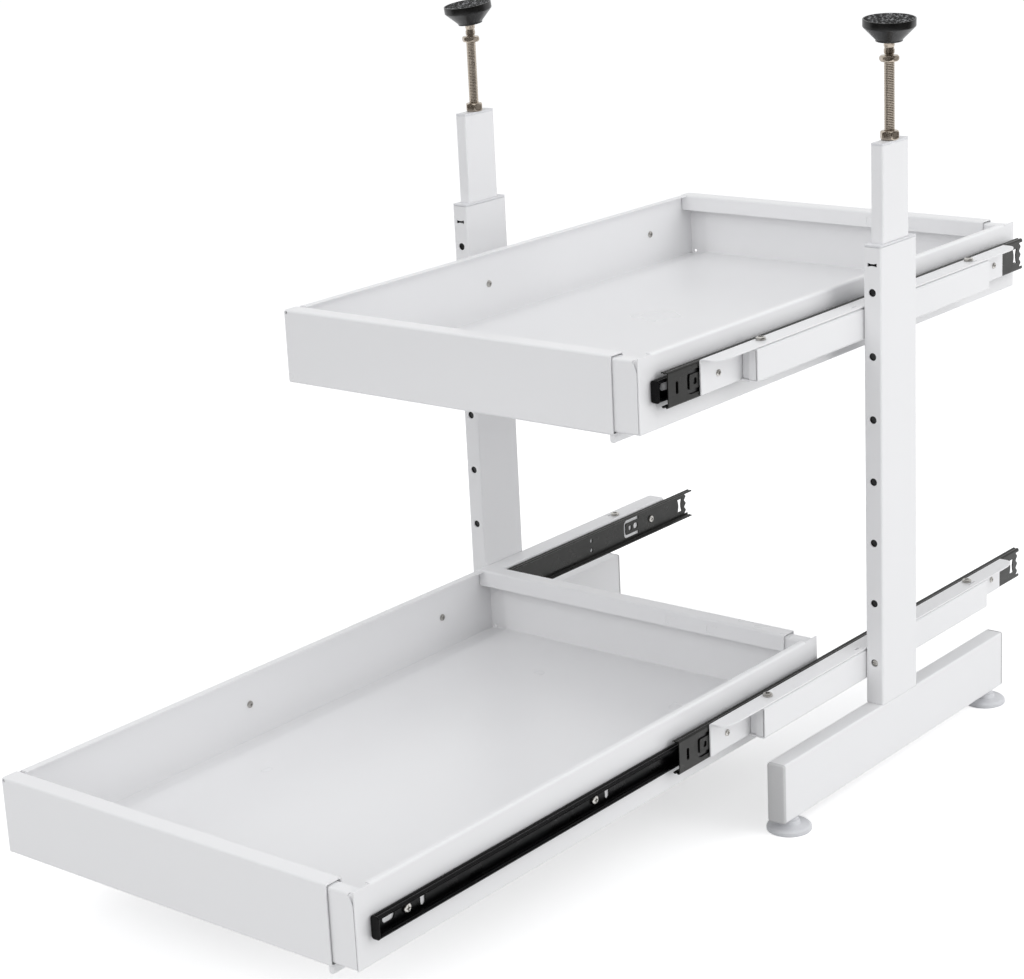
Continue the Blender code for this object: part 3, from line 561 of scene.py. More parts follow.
def end_wall(tier, side, step, flange, ends, height):
    """Shells of an end wall: a curl off the floor, the wall and, clear of both rims, its flange.

    The wall's ends have the same profile but stop in an upright edge at a height instead of the
    flange's bend, which starts at the profile's eighth point.
    """
    rim, bottom, _, _ = tray_limits(tier)
    floor = bottom + step + SHEET / 2
    corners = [(-CORNER_GAP - SHEET, floor), (-SHEET / 2, floor), (-SHEET / 2, rim - SHEET / 2),
               (-flange, rim - SHEET / 2)]
    full = facing(side, rounded(corners, [WALL_BEND, BEND]))
    upright = np.vstack([full[:8], facing(side, [(-SHEET / 2, height)])])
    low, high = ends
    after, before = low + RIM_FLANGE + FLANGE_NOTCH, high - RIM_FLANGE - FLANGE_NOTCH
    return [grid(carried(upright, (low, after), "y")),
            grid(carried(full, (after, before), "y")),
            grid(carried(upright, (before, high), "y"))]


# %% Main part of each tray
LEFT_FLANGE = 7.6
SEAM = 143
HEM_DROP = 6
HEM_WIDTH = 4.5
HEM_INSET = 2
HEM_BEND = 1.9
DOT_PLACE = (1.9, 2.2)
DOT_RADIUS = 1.2
HOLE_PLACE = (5.5, 3.4)
HOLE_RADIUS = 1.3
LANCE_PLACES = (36.5, 76)
LANCE_DROP = 8
LANCE_REACH = 5
LANCE_HALF = 3.25
LANCE_BEND = 1.8
LANCE_WIDTH = 1.5
LANCE_DEPTH = 0.4

for tier in TIERS:
    rim, bottom, front, rear = tray_limits(tier)
    inner_end = -TRAY_EDGE + SHEET + CORNER_GAP
    ends = (front + SHEET + SLACK, rear - SHEET - SLACK)
    shells = end_wall(tier, "left", 0, LEFT_FLANGE, ends, rim - SHEET - SLACK)
    finish(thicken(add_piece(f"{tier}_tray_end_wall", shells), SHEET), f"{tier}_tray")
    tray = folded(f"{tier}_tray_pan", pan_profile(tier, 0), (-TRAY_EDGE, SEAM), SHEET, "x")
    room = [(front + SHEET, bottom - 1), (rear - SHEET, bottom - 1),
            (rear - SHEET, rim - SHEET), (front + SHEET, rim - SHEET)]
    punched(tray, [room], -TRAY_EDGE - 1, inner_end, "x")
    dot = disc((-TRAY_EDGE + DOT_PLACE[0], rim - DOT_PLACE[1]), DOT_RADIUS)
    punches = [through(dot, front - 1, front + 2, "y")]
    level, lip_face = rim - LANCE_DROP, rear - RIM_FLANGE
    for middle in LANCE_PLACES:
        path = c_path(middle + LANCE_REACH, middle - LANCE_REACH, level - LANCE_HALF, level + LANCE_HALF,
                      LANCE_BEND)
        punches.append(through(band(path, LANCE_WIDTH), lip_face - 1, lip_face + LANCE_DEPTH, "y"))
    hole = disc((-TRAY_EDGE + HOLE_PLACE[0], bottom + HOLE_PLACE[1]), HOLE_RADIUS)
    punches.append(through(hole, rear - 2, rear + 1, "y"))
    cut(tray, punches)
    finish(tray, f"{tier}_tray", f"{tier}_tray_main")
    fold = round_box((SEAM - HEM_WIDTH / 2, bottom + SHEET - (HEM_DROP + SHEET) / 2),
                     (HEM_WIDTH, HEM_DROP + SHEET), HEM_BEND)
    hem = add_piece(f"{tier}_tray_hem", [through(fold, front + HEM_INSET, rear - HEM_INSET, "y")])
    finish(hem, f"{tier}_tray", edge=0.6)
    print(tray.name, "spans X", -TRAY_EDGE, "to", SEAM)

# %% [markdown]
# ## Tray: extension
# The extension is the same fold one sheet smaller, with its end wall on the right, and nearly all of
# it is hidden inside the main part. It shows as the last 22 mm of the tray. Its upper corners have a
# relief hole and a wedge-shaped slit, where the side wall was sheared free of the rim before bending,
# and a slanting tab behind the slit joins the two walls.

# %% Extension of each tray
NEST_STEP = 2
NESTED_END = -147
RIGHT_FLANGE = 4.5
RELIEF_HEIGHT = 8.5
RELIEF_WIDTH = 3
RELIEF_HOLE = (4.4, 2.4)
RELIEF_PLACE = (1.6, 0.9)
TAB_REACH = 3.4
TAB_GAP = 0.3

for tier in TIERS:
    rim, bottom, front, rear = tray_limits(tier)
    inner_end = TRAY_EDGE - SHEET - CORNER_GAP
    ends = (front + NEST_STEP, rear - NEST_STEP)
    shells = end_wall(tier, "right", NEST_STEP, RIGHT_FLANGE, ends, rim - 0.2)
    finish(thicken(add_piece(f"{tier}_extension_end_wall", shells), SHEET), f"{tier}_extension")
    profile = pan_profile(tier, NEST_STEP)
    extension = folded(f"{tier}_extension_pan", profile, (NESTED_END, inner_end), SHEET, "x")
    top = rim - NEST_STEP
    slits, holes, tabs = [], [], []
    for end, way in ((front, 1), (rear, -1)):
        low, high = sorted((end - way, end + way * (NEST_STEP + SHEET + TAB_GAP)))
        wedge = [(inner_end - 0.1, top - RELIEF_HEIGHT), (inner_end + 0.3, top - RELIEF_HEIGHT),
                 (inner_end + 0.3, top - 0.4), (inner_end - RELIEF_WIDTH, top - 0.4)]
        slits.append(through(wedge, low, high, "y"))
        middle = (inner_end - RELIEF_PLACE[0], end + way * (NEST_STEP + RELIEF_PLACE[1]))
        holes.append(through(round_box(middle, RELIEF_HOLE, 0.6), top - 2, top + 0.5, "z"))
        seat = end + way * (NEST_STEP + TAB_GAP)
        tab = [(inner_end - TAB_REACH, seat), (inner_end + 0.4, seat + way * 3),
               (inner_end - TAB_REACH, seat + way * 3)]
        tabs.append(through(tab, top - 1.5 - RELIEF_HEIGHT, top - 0.8, "z"))
    # The slits and holes overlap, and overlapping punches in one cut would spoil each other
    cut(cut(extension, slits), holes)
    finish(extension, f"{tier}_extension", f"{tier}_tray_extension")
    finish(add_piece(f"{tier}_extension_tabs", tabs), f"{tier}_extension", edge=0)
print("the extension nests", SEAM - NESTED_END, "mm inside the main part")

# %% [markdown]
# ## Slide member on the tray
# A ball slide has a member screwed to the tray: a shallow channel whose flanges are rolled into
# races for the balls. Its front end is closed, and slots let the fitter set the tray's height. The
# profile, races and all, is one path of bends carried along Y.

# %% Tray members
SLIDE_SHEET = 0.9
SLIDE_LENGTH = 508
SLIDE_CORNER = 1.1
MEMBER_START = 14.5
MEMBER_HALF = 7.5
MEMBER_TIP = 7.4
WEB = 0.75
MEMBER_SCREWS = (47.2, 243.8, 441.5)
MEMBER_SLOTS = (63.4, 259.2, 456.9)
MEMBER_OBLONG = 30.4
SLOT_RAISE = 0.8
WALL_SCREWS = (241.3, 469.9)
WALL_SCREW_DROP = 27.5


def channel(tip, web, half, race_depth, race_length):
    """Middle line of a rolled channel from tip to tip, with a race in each flange.

    The flange's height falls from its crest by half the race's depth times 1 minus the cosine of the
    distance over the race's length. Then an arc joins it to the web, and the lower half mirrors it.
    """
    crest = web + (SLIDE_CORNER + 0.1 if tip > web else -SLIDE_CORNER - 0.1)
    across = np.linspace(tip, crest, 20)
    drop = race_depth / 2 * (1 - np.cos((across - crest) * 2 * math.pi / race_length))
    flange = pairs(across, half - drop)
    corner = rounded([(crest, half), (web, half), (web, 0)], SLIDE_CORNER)[1:-1]
    upper = np.vstack([flange, corner])
    return np.vstack([upper, (upper * (1, -1))[::-1]])


member_race = channel(MEMBER_TIP, WEB, MEMBER_HALF, 1, 3.4)
# The tray members and their end caps take the darker copy of the slide steel, which is painted shade.
shaded_look = {"slot": "black_slide_steel", "look": "shaded_black_slide_steel"}

for name, side, tier, height in SLIDES:
    front = TIERS[tier]["front"]
    start = front + MEMBER_START
    member = folded(f"{name}_tray_slide", facing(side, member_race + (0, height)),
                    (start + 0.8, start + SLIDE_LENGTH), SLIDE_SHEET)
    outlines = [round_box((front + MEMBER_OBLONG, height + SLOT_RAISE), (11.5, 6.6), 3.2)]
    outlines += [round_box((front + place, height + SLOT_RAISE), (5, 10.8), 2.4) for place in MEMBER_SLOTS]
    punched(member, outlines, *between(side, -1, 4), "x")
    end = through(round_box((outwards(side, 4), height), (7, 16.2), 2), start, start + 1.2, "y")
    cap = add_piece(f"{name}_tray_slide_end", [end])
    body = f"{tier}_tray" if side == "left" else f"{tier}_extension"
    finish(member, body, f"{name}_tray_member", edge=0.15, **shaded_look)
    finish(cap, body, edge=0.5, **shaded_look)
    add_screws(f"{name}_tray_slide_screws", [(front + place, height) for place in MEMBER_SCREWS],
               outwards(side, 1.5), SIDES[side], "x", (6.8, 1.8), body)
    if side == "left":
        level = TIERS[tier]["rim"] - WALL_SCREW_DROP
        add_screws(f"{tier}_tray_wall_screws", [(front + place, level) for place in WALL_SCREWS],
                   -TRAY_EDGE + SHEET, 1, "x", (5.6, 1.4), body)

# %% [markdown]
# ## Slide member on the rail
# The fixed member is a larger channel that opens towards the tray and holds the balls between its
# races and the tray member's. Punched tongues, slots and dots in its web stop the balls and take the
# fixing screws. A black plastic leaf behind the front tongue is painted shade that keeps its cuts and
# dots dark. A tongue is freed by a thin C-shaped cut, so its punch is a band along a rounded path. The
# rear end is a wave, and the slot before it is a bone with a waist that falls as a cosine.

# %% Rail members
RAIL_HALF = 12.5
RAIL_TIP = 4.1
RAIL_WEB = 9.55
RAIL_FRONT = POST_Y - SLIDE_LENGTH / 2
RAIL_REAR = RAIL_FRONT + SLIDE_LENGTH
TONGUES = (RAIL_FRONT + 24, RAIL_REAR - 100)
TONGUE_LENGTH = 21
TONGUE_HALF = 7
TONGUE_CUT = 3
DOTS = RAIL_REAR - 151
BONE = RAIL_REAR - 13
LEAF = (33, 19)
LEAF_GAUGE = 0.3
rail_race = channel(RAIL_TIP, RAIL_WEB, RAIL_HALF, 0.7, 3)

for name, side, tier, height in SLIDES:
    path = facing(side, rail_race + (0, height))
    rail = folded(f"{name}_rail_slide", path, (RAIL_FRONT, RAIL_REAR), SLIDE_SHEET)
    outlines = []
    for closed in TONGUES:
        path = c_path(closed + TONGUE_LENGTH, closed, height - TONGUE_HALF, height + TONGUE_HALF, 3)
        outlines += [band(path, TONGUE_CUT), round_box((closed + 8, height), (4, 4.6), 1.6),
                     round_box((closed + 16.5, height), (6.2, 5.4), 2)]
    outlines.append(round_box((RAIL_FRONT + 10.5, height), (3, 9), 1.4))
    rise = np.linspace(-1, 1, 17)
    waist = 3.2 - 1.4 * np.cos(rise * math.pi / 2)
    outlines.append(np.vstack([pairs(BONE + waist, height + rise * 6),
                               pairs(BONE - waist, height + rise * 6)[::-1]]))
    wave = RAIL_REAR - 4 + 1.3 * np.cos(rise * 3 * math.pi)
    outlines.append(np.vstack([pairs(wave, height + rise * 10),
                               [(RAIL_REAR + 3, height + 10), (RAIL_REAR + 3, height - 10)]]))
    outlines += [disc((DOTS, height + 4), 1.8), disc((DOTS, height - 5), 1.8)]
    punched(rail, outlines, *between(side, RAIL_WEB - 2, RAIL_WEB + 2), "x")
    finish(rail, f"{side}_frame", f"{name}_rail_member", "black_slide_steel", 0.15)
    # The black leaf is painted shade that keeps the front tongue's cuts and dots dark.
    leaf = through(round_box((RAIL_FRONT + 35, height), LEAF, 2),
                   *between(side, RAIL_WEB - 0.7 - LEAF_GAUGE, RAIL_WEB - 0.7), "x")
    finish(add_piece(f"{name}_tongue_shade_leaf", [leaf]), f"{side}_frame", slot="black_plastic", edge=0)
    add_screws(f"{name}_rail_slide_screws", [(RAIL_REAR - 60, height)],
               outwards(side, RAIL_WEB - 0.5), -SIDES[side], "x", (6.5, 1.6), f"{side}_frame")

# %% [markdown]
# ## Ball cages
# Between the two members run rows of steel balls in a thin pressed cage, which follows at half the
# tray's speed. They hardly show at rest, but the joints can bring them into view, so the balls are
# true spheres: half a circle turned round Z.

# %% Ball cages
CAGE_SHEET = 0.5
CAGE_LENGTH = 110
CAGE_TIP = 4.2
CAGE_WEB = 8.15
BALL_ROW = 9.95
BALL_RADIUS = 1.5
BALL_LINE = 5.75
BALL_COUNT = 7
CAGE_MIDDLE = {"lower": 4.75, "upper": 160.75}


for name, side, tier, height in SLIDES:
    middle = CAGE_MIDDLE[tier]
    path = c_path(CAGE_TIP, CAGE_WEB, height - BALL_ROW, height + BALL_ROW, 0.6)
    cage = folded(f"{name}_cage_strip", facing(side, path),
                  (middle - CAGE_LENGTH / 2, middle + CAGE_LENGTH / 2), CAGE_SHEET)
    finish(cage, f"{name}_cage", f"{name}_ball_cage", "bright_steel", 0)
    places = middle + CAGE_LENGTH * (np.arange(1, BALL_COUNT + 1) / (BALL_COUNT + 1) - 0.5)
    balls = [turned(ball_profile(BALL_RADIUS, row, steps=8), (outwards(side, BALL_LINE), along), sides=14)
             for along in places for row in (height - BALL_ROW, height + BALL_ROW)]
    finish(add_piece(f"{name}_balls", balls), f"{name}_cage", slot="bright_steel", edge=0)

# %% [markdown]
# ## Rail brackets
# Each slide hangs on a white angle: its plate holds the slide, and its flange lies on the beam. The
# flange starts narrow and swings out in a quarter ellipse, which also leaves the curved crease at the
# corner. The left brackets' rear corners are only rounded. Two short slots show the beam's edge.

# %% Rail brackets
BRACKET_PLATE = 10.9
BRACKET_GAUGE = 1.2
BRACKET_ABOVE = 14.3
BRACKET_BELOW = 11.7
BRACKET_EDGE = 26.2
BRACKET_LENGTH = 434
ELLIPSE = (16, 8)
SMALL_CORNER = (3, 3)
PLATE_SCREWS = (-196, 202)
FLANGE_SLOTS = ((-31, 7), (150, 11))
SLOT_LINE = 21.5
CLAMP_LINE = 17

turn = np.linspace(0, math.pi / 2, 10)
for name, side, tier, height in SLIDES:
    top = height + BRACKET_ABOVE
    path = rounded([(BRACKET_PLATE, height - BRACKET_BELOW), (BRACKET_PLATE, top - BRACKET_GAUGE / 2),
                    (BRACKET_EDGE, top - BRACKET_GAUGE / 2)], BEND)
    ends = (POST_Y - BRACKET_LENGTH / 2, POST_Y + BRACKET_LENGTH / 2)
    bracket = folded(f"{name}_angle", facing(side, path), ends, BRACKET_GAUGE)
    outlines = []
    for end, way in zip(ends, (1, -1)):
        reach, width = SMALL_CORNER if side == "left" and way < 0 else ELLIPSE
        swing = pairs(BRACKET_EDGE - width * (1 - np.cos(turn)), end + way * reach * (1 - np.sin(turn)))
        waste = [(BRACKET_EDGE - width, end - way * 3), (BRACKET_EDGE + 3, end - way * 3),
                 (BRACKET_EDGE + 3, end + way * reach)]
        outlines.append(facing(side, np.vstack([swing, waste])))
    outlines += [round_box((outwards(side, SLOT_LINE), POST_Y + along), (1.2, length), 0.5)
                 for along, length in FLANGE_SLOTS]
    punched(bracket, outlines, top - 4, top + 3, "z")
    finish(bracket, f"{side}_frame", f"{name}_bracket")
    add_screws(f"{name}_angle_screws", [(POST_Y + along, height) for along in PLATE_SCREWS],
               outwards(side, BRACKET_PLATE + 0.6), SIDES[side], "x", (5, 1.2), f"{side}_frame")
    for end, along in FOOT_PLACES.items():
        add_screws(f"{name}_{end}_clamp_screw", [(outwards(side, CLAMP_LINE), along)], top + 0.3, 1, "z",
                   (7.5, 2.2, 3.5, 9), f"{side}_frame", f"{name}_{end}_flange_screw")

# %% [markdown]
# ## Beams
# A channel between each bracket and its post carries the load. Its front end is closed by a flange
# that is bent round from the web and stops just short of it, so the web's own edge shows as a light
# strip beside a dark gap.

# %% Beams
BEAM_IN = 11.8
BEAM_OUT = 26.2
BEAM_DROP = 2
BEAM_HEIGHT = 24.3
BEAM_LENGTH = 336
BEAM_GAP = 0.7

for name, side, tier, height in SLIDES:
    top = height + BRACKET_ABOVE - BEAM_DROP - BRACKET_GAUGE / 2
    bottom = top - BEAM_HEIGHT + BRACKET_GAUGE
    web = BEAM_OUT - BRACKET_GAUGE / 2
    start = POST_Y - BEAM_LENGTH / 2
    beam = folded(f"{name}_channel", facing(side, c_path(BEAM_IN, web, bottom, top, BEND)),
                  (start, start + BEAM_LENGTH), BRACKET_GAUGE)
    width = (web - BRACKET_GAUGE / 2 - BEAM_GAP - BEAM_IN) / 2
    halves = []
    for share, back in ((0.5, 2.2), (1.5, 0.1)):
        face = round_box((outwards(side, BEAM_IN + share * width), (top + bottom) / 2),
                         (width, top - bottom - 1.4), 0.6)
        halves.append(through(face, start + back, start + back + BRACKET_GAUGE, "y"))
    flange = add_piece(f"{name}_channel_end", halves)
    finish(beam, f"{side}_frame", f"{name}_beam")
    finish(flange, f"{side}_frame", edge=0.4)

# %% [markdown]
# ## Posts and bases
# Posts and bases are rectangular tube with rounded edges. A tube is four rings of one rounded
# rectangle: up the outside and down the inside, looped. Seven holes and a bow-tie slit are punched in
# the post's front, and a screw sits sunk in the lowest hole.

# %% Posts, bases and their screws
POST_SIZE = (15, 52)
POST_LOW = 58.05
POST_HIGH = 419.2
POST_HOLES = 385 - 48.9 * np.arange(7)
SLIT_HEIGHT = 406
TUBE_CORNER = 1.6
TUBE_WALL = 1.2
BASE_SIZE = (15, 47)
BASE_WALL = 1.5
BASE_LOW = 11
BASE_ENDS = (-0.5, 329.5)
BOW_TIE = np.array([(-3.9, 1.5), (-1.4, 0.8), (1.4, 0.8), (3.9, 1.5),
                    (3.9, -1.5), (1.4, -0.8), (-1.4, -0.8), (-3.9, -1.5)])


def tube(centre, size, ends, axis, wall, corner=TUBE_CORNER):
    """A rectangular tube: outer ring, outer ring, inner ring, inner ring, looped round."""
    outer = round_box(centre, size, corner)
    inner = round_box(centre, np.asarray(size) - 2 * wall, max(corner - wall, 0.3))
    rows = carried(np.stack([outer, outer, inner, inner]), (*ends, ends[1], ends[0]), axis)
    return grid(rows, around=True, looped=True)


for side in SIDES:
    middle = outwards(side, POST_AXIS)
    face = POST_Y - POST_SIZE[1] / 2
    mast = tube((middle, POST_Y), POST_SIZE, (POST_LOW, POST_HIGH), "z", TUBE_WALL)
    post = add_piece(f"{side}_upright", [mast])
    outlines = [disc((middle, hole), 3) for hole in POST_HOLES] + [BOW_TIE + (middle, SLIT_HEIGHT)]
    punched(post, outlines, face - 1, face + 3, "y")
    finish(post, f"{side}_frame", f"{side}_post", edge=0.25)
    base_middle = (middle, BASE_LOW + BASE_SIZE[1] / 2)
    base = add_piece(f"{side}_foot_beam", [tube(base_middle, BASE_SIZE, BASE_ENDS, "y", BASE_WALL)])
    holes = [disc((middle, along), 4.2) for along in FOOT_PLACES.values()]
    punched(base, holes, BASE_LOW - 1, BASE_LOW + 3, "z")
    finish(base, f"{side}_frame", f"{side}_base", edge=0.25)
    add_screws(f"{side}_upright_screw", [(middle, POST_HOLES[-1])], face + 2.4, -1, "y",
               (5.4, 1.6, 4, 13), f"{side}_frame", f"{side}_post_screw")

# %% [markdown]
# ## Base caps
# Grey plugs close the ends of the base tubes. Their faces bulge slightly and their edges are round,
# so the cap is a stack of shrinking rounded rectangles whose inset and height follow a quarter circle,
# and then a shallow crown.

# %% Base caps
CAP_THICKNESS = 2.7
CAP_ROUND = 1.4
CAP_CROWN = 2.5
CAP_PLUG = 8
CAP_FIT = 1.8
CAP_GAP = 0.3
CAP_CORNER = 1.9

for side in SIDES:
    centre = np.array((outwards(side, POST_AXIS), BASE_LOW + BASE_SIZE[1] / 2))
    for end, edge, way in (("front", BASE_ENDS[0], -1), ("rear", BASE_ENDS[1], 1)):
        turn = np.linspace(0, math.pi / 2, 6)
        insets = np.hstack([CAP_FIT, CAP_FIT, 0, CAP_ROUND * (1 - np.cos(turn)), CAP_ROUND + CAP_CROWN])
        rounds = CAP_THICKNESS - CAP_ROUND - CAP_GAP + CAP_ROUND * np.sin(turn)
        places = edge + way * CAP_GAP + way * np.hstack([-CAP_PLUG, 0, 0, rounds, CAP_THICKNESS])
        rings = [round_box(centre, np.array(BASE_SIZE) - 2 * inset, max(CAP_CORNER - inset * 0.4, 0.5))
                 for inset in insets]
        cap = add_piece(f"{side}_{end}_plug", [capped(carried(rings, places, "y"))])
        finish(cap, f"{side}_frame", f"{side}_{end}_base_cap", "grey_plastic", 0)

# %% [markdown]
# ## Telescopic posts
# A plastic sleeve in the post's mouth guides a narrower inner tube. The sleeve's rim shows as a thin
# bright line, a window in it lies behind the post's slit, and the inner tube ends in a plate that
# carries the jack. A black plastic strip behind the post's holes and a block behind its slit, clear of
# the inner tube, are painted shade that makes them look black. Each piece is a short stack of rounded
# rectangles.

# %% Sleeves, painted-shade strip and block, inner posts and their end plates
INNER_SIZE = (10.4, 37.3)
INNER_TOP = 493.5
INNER_LENGTH = 300
INNER_CORNER = 1.3
SLEEVE_SIZE = (12, 49)
SLEEVE_RIM = 1.5
SLEEVE_LENGTH = 25
SLEEVE_SEAT = POST_HIGH + 0.3
STRIP_SIZE = (11, 2.2)
STRIP_BACK = 23.3
STRIP_ENDS = (100, 394)
SHADE_BLOCK_SIZE = (10.2, 4.2)
SHADE_BLOCK_BACK = 21.4
SHADE_BLOCK_ENDS = (403.3, 408.7)

for side in SIDES:
    middle = (outwards(side, POST_AXIS), POST_Y)
    rim_outer = round_box(middle, POST_SIZE, TUBE_CORNER)
    body_outer = round_box(middle, SLEEVE_SIZE, 0.6)
    mouth = round_box(middle, np.array(INNER_SIZE) + 0.6, 1.5)
    low, high = SLEEVE_SEAT - SLEEVE_LENGTH, SLEEVE_SEAT + SLEEVE_RIM
    rows = carried(np.stack([body_outer, body_outer, rim_outer, rim_outer, mouth, mouth]),
                   (low, SLEEVE_SEAT, SLEEVE_SEAT, high, high, low), "z")
    sleeve = add_piece(f"{side}_sleeve", [grid(rows, around=True, looped=True)])
    window = round_box((middle[0], SLIT_HEIGHT), (10.8, 6), 0.5)
    punched(sleeve, [window], POST_Y - POST_SIZE[1] / 2, POST_Y - INNER_SIZE[1] / 2 - 0.1, "y")
    finish(sleeve, f"{side}_frame", f"{side}_post_bushing", "white_plastic", 0.3)
    # The strip and block are painted shade: black plastic behind the post's holes and slit keeps them dark.
    strip = through(round_box((middle[0], POST_Y - STRIP_BACK), STRIP_SIZE, 0.4), *STRIP_ENDS, "z")
    shade_block = through(round_box((middle[0], POST_Y - SHADE_BLOCK_BACK), SHADE_BLOCK_SIZE, 0.5), *SHADE_BLOCK_ENDS, "z")
    finish(add_piece(f"{side}_hole_shade_strip", [strip, shade_block]), f"{side}_frame", slot="black_plastic")
    inner = add_piece(f"{side}_inner_tube",
                      [tube(middle, INNER_SIZE, (INNER_TOP - INNER_LENGTH, INNER_TOP), "z", 1, INNER_CORNER)])
    finish(inner, f"{side}_inner_post", f"{side}_inner_post", edge=0.25)
    outline = round_box(middle, INNER_SIZE, INNER_CORNER)
    plate = add_piece(f"{side}_end_plate", [through(outline, INNER_TOP + 0.02, INNER_TOP + 1.8, "z")])
    punched(plate, [disc(middle, 4.2)], INNER_TOP - 1, INNER_TOP + 3, "z")
    finish(plate, f"{side}_inner_post", f"{side}_inner_post_cap", "white_plastic", 0.5)

# %% [markdown]
# ## Screw jacks
# A threaded rod stands on each inner post, locked by a nut, with a hexagon for the spanner and a
# crimped collar under the pad. The thread is a surface too: its radius falls and rises in a wave of
# height minus a turn's share. It is drawn shallow, since a turn is only a pixel high here. The
# hexagons are a circle whose radius grows towards six corners, shaved by a cone at both faces.

# %% Threads and hexagons
THREAD_RADIUS = 3.9
THREAD_DEPTH = 0.13
THREAD_PITCH = 1.25
THREAD_SIDES = 24
HEX_FLATS = 13
HEX_SIDES = 72


def thread(centre, low, high):
    """A screw thread, closed at both ends.

    The radius at turn a and height z is the outer radius less the depth times a wave of
    z / pitch - a / full turn: a triangle wave whose crests and roots are clipped flat.
    """
    height = np.linspace(low, high, int((high - low) / THREAD_PITCH * 8))
    angle = full_turn(THREAD_SIDES)
    phase = (height[:, None] / THREAD_PITCH - angle / (2 * math.pi)) % 1
    radius = THREAD_RADIUS - THREAD_DEPTH * np.clip(2 * np.abs(2 * phase - 1) - 0.5, 0, 1)
    return capped(carried(np.asarray(centre) + radius[..., None] * circle(angle), height, "z"))


def hexagon(centre, low, high, hole=0, turn=0.0):
    """A nut: half the flats over the cosine from the nearest flat, capped by a cone at each face."""
    angle = full_turn(HEX_SIDES)
    share = (angle + turn + math.pi / 6) % (math.pi / 3) - math.pi / 6
    corner_radius = HEX_FLATS / 2 / np.cos(share)
    rises = np.array([0, 0.35, 0.8, 1.3])
    heights = np.concatenate([low + rises, high - rises[::-1]])
    allowed = HEX_FLATS / 2 * 0.97 + np.concatenate([rises, rises[::-1]]) * 0.9
    radius = np.minimum(corner_radius, allowed[:, None])
    if hole:
        inner = np.full((1, HEX_SIDES), float(hole))
        radius = np.vstack([inner, radius, inner])
        heights = np.concatenate([[low], heights, [high]])
    points = carried(np.asarray(centre) + radius[..., None] * circle(angle), heights, "z")
    return grid(points, around=True, looped=True) if hole else capped(points)


# %% Nuts and rods
NUT_LOW = INNER_TOP + 2.1
NUT_HIGH = NUT_LOW + 6.5
NUT_TURN = 0.30
ROD_LOW = NUT_LOW - 95.3
HEX_LOW = 552.8
HEX_HIGH = 557.2
HEX_TURN = 0.12
PAD_LOW = 567.6
BALL_CENTRE = 571.2
BALL_SIZE = 5.5
NECK = 4
WAIST = 3.6
FOOT_OF_NECK = 3.4

for side in SIDES:
    centre = (outwards(side, POST_AXIS), POST_Y)
    nut = add_piece(f"{side}_jam_nut", [hexagon(centre, NUT_LOW, NUT_HIGH, 4, NUT_TURN)])
    finish(nut, f"{side}_inner_post", f"{side}_lock_nut", "nickel_plate", 0)
    ball = ball_profile(BALL_SIZE, BALL_CENTRE, math.asin(NECK / BALL_SIZE))
    collar = [(0, -1), (FOOT_OF_NECK, -1), (FOOT_OF_NECK, 1.2), (NECK, 1.8), (NECK, 4.2),
              (WAIST, 4.8), (WAIST, 6.2), (NECK, 6.8), (NECK, PAD_LOW - HEX_HIGH)]
    rod = add_piece(f"{side}_threaded_rod", [
        thread(centre, ROD_LOW, HEX_LOW + 1),
        hexagon(centre, HEX_LOW, HEX_HIGH, 0, HEX_TURN),
        turned(np.vstack([np.add(collar, (0, HEX_HIGH)), ball]), centre),
    ])
    finish(rod, f"{side}_jack_rod", f"{side}_jack_rod", "nickel_plate", 0)
    print("a rod has", triangles[rod.name], "triangles")

# %% [markdown]
# ## Ceiling pads
# A black pad on a ball presses on the cabinet's ceiling: a cone, a band and a rough rubber disc. Both
# pads have tipped forwards on their balls, so their points are turned about the ball's centre. The
# disc's top is a wavy height over rings and turns, which gives its grip knobs.

# %% Pads and their grip discs
PAD_RADIUS = 19.6
PAD_SHOULDER = PAD_LOW + 10.2
PAD_TOP = PAD_LOW + 16.4
PAD_BASE = 10
PAD_LEAN = {"left": (-0.045, -0.125), "right": (0.056, -0.067)}
SOCKET_RADIUS = 5.8
MOUTH_RADIUS = 5.4
GRIP_INSET = 1.2
KNOB_HEIGHT = 0.9
KNOB_PITCH = 5


def tipped(shell, side):
    """A shell turned about the ball's centre, so that the pad's axis leans by its share of X and Y.

    The new axis is (lean x, lean y, what is left of 1), and the turn is the shortest one to it.
    """
    corners, quads, ends = shell
    centre = np.array((outwards(side, POST_AXIS), POST_Y, BALL_CENTRE))
    across, along = PAD_LEAN[side]
    rise = math.sqrt(1 - across ** 2 - along ** 2)
    spin = np.array([(1 - across ** 2 / (1 + rise), -across * along / (1 + rise), across),
                     (-across * along / (1 + rise), 1 - along ** 2 / (1 + rise), along),
                     (-across, -along, rise)])
    return (corners - centre) @ spin.T + centre, quads, ends


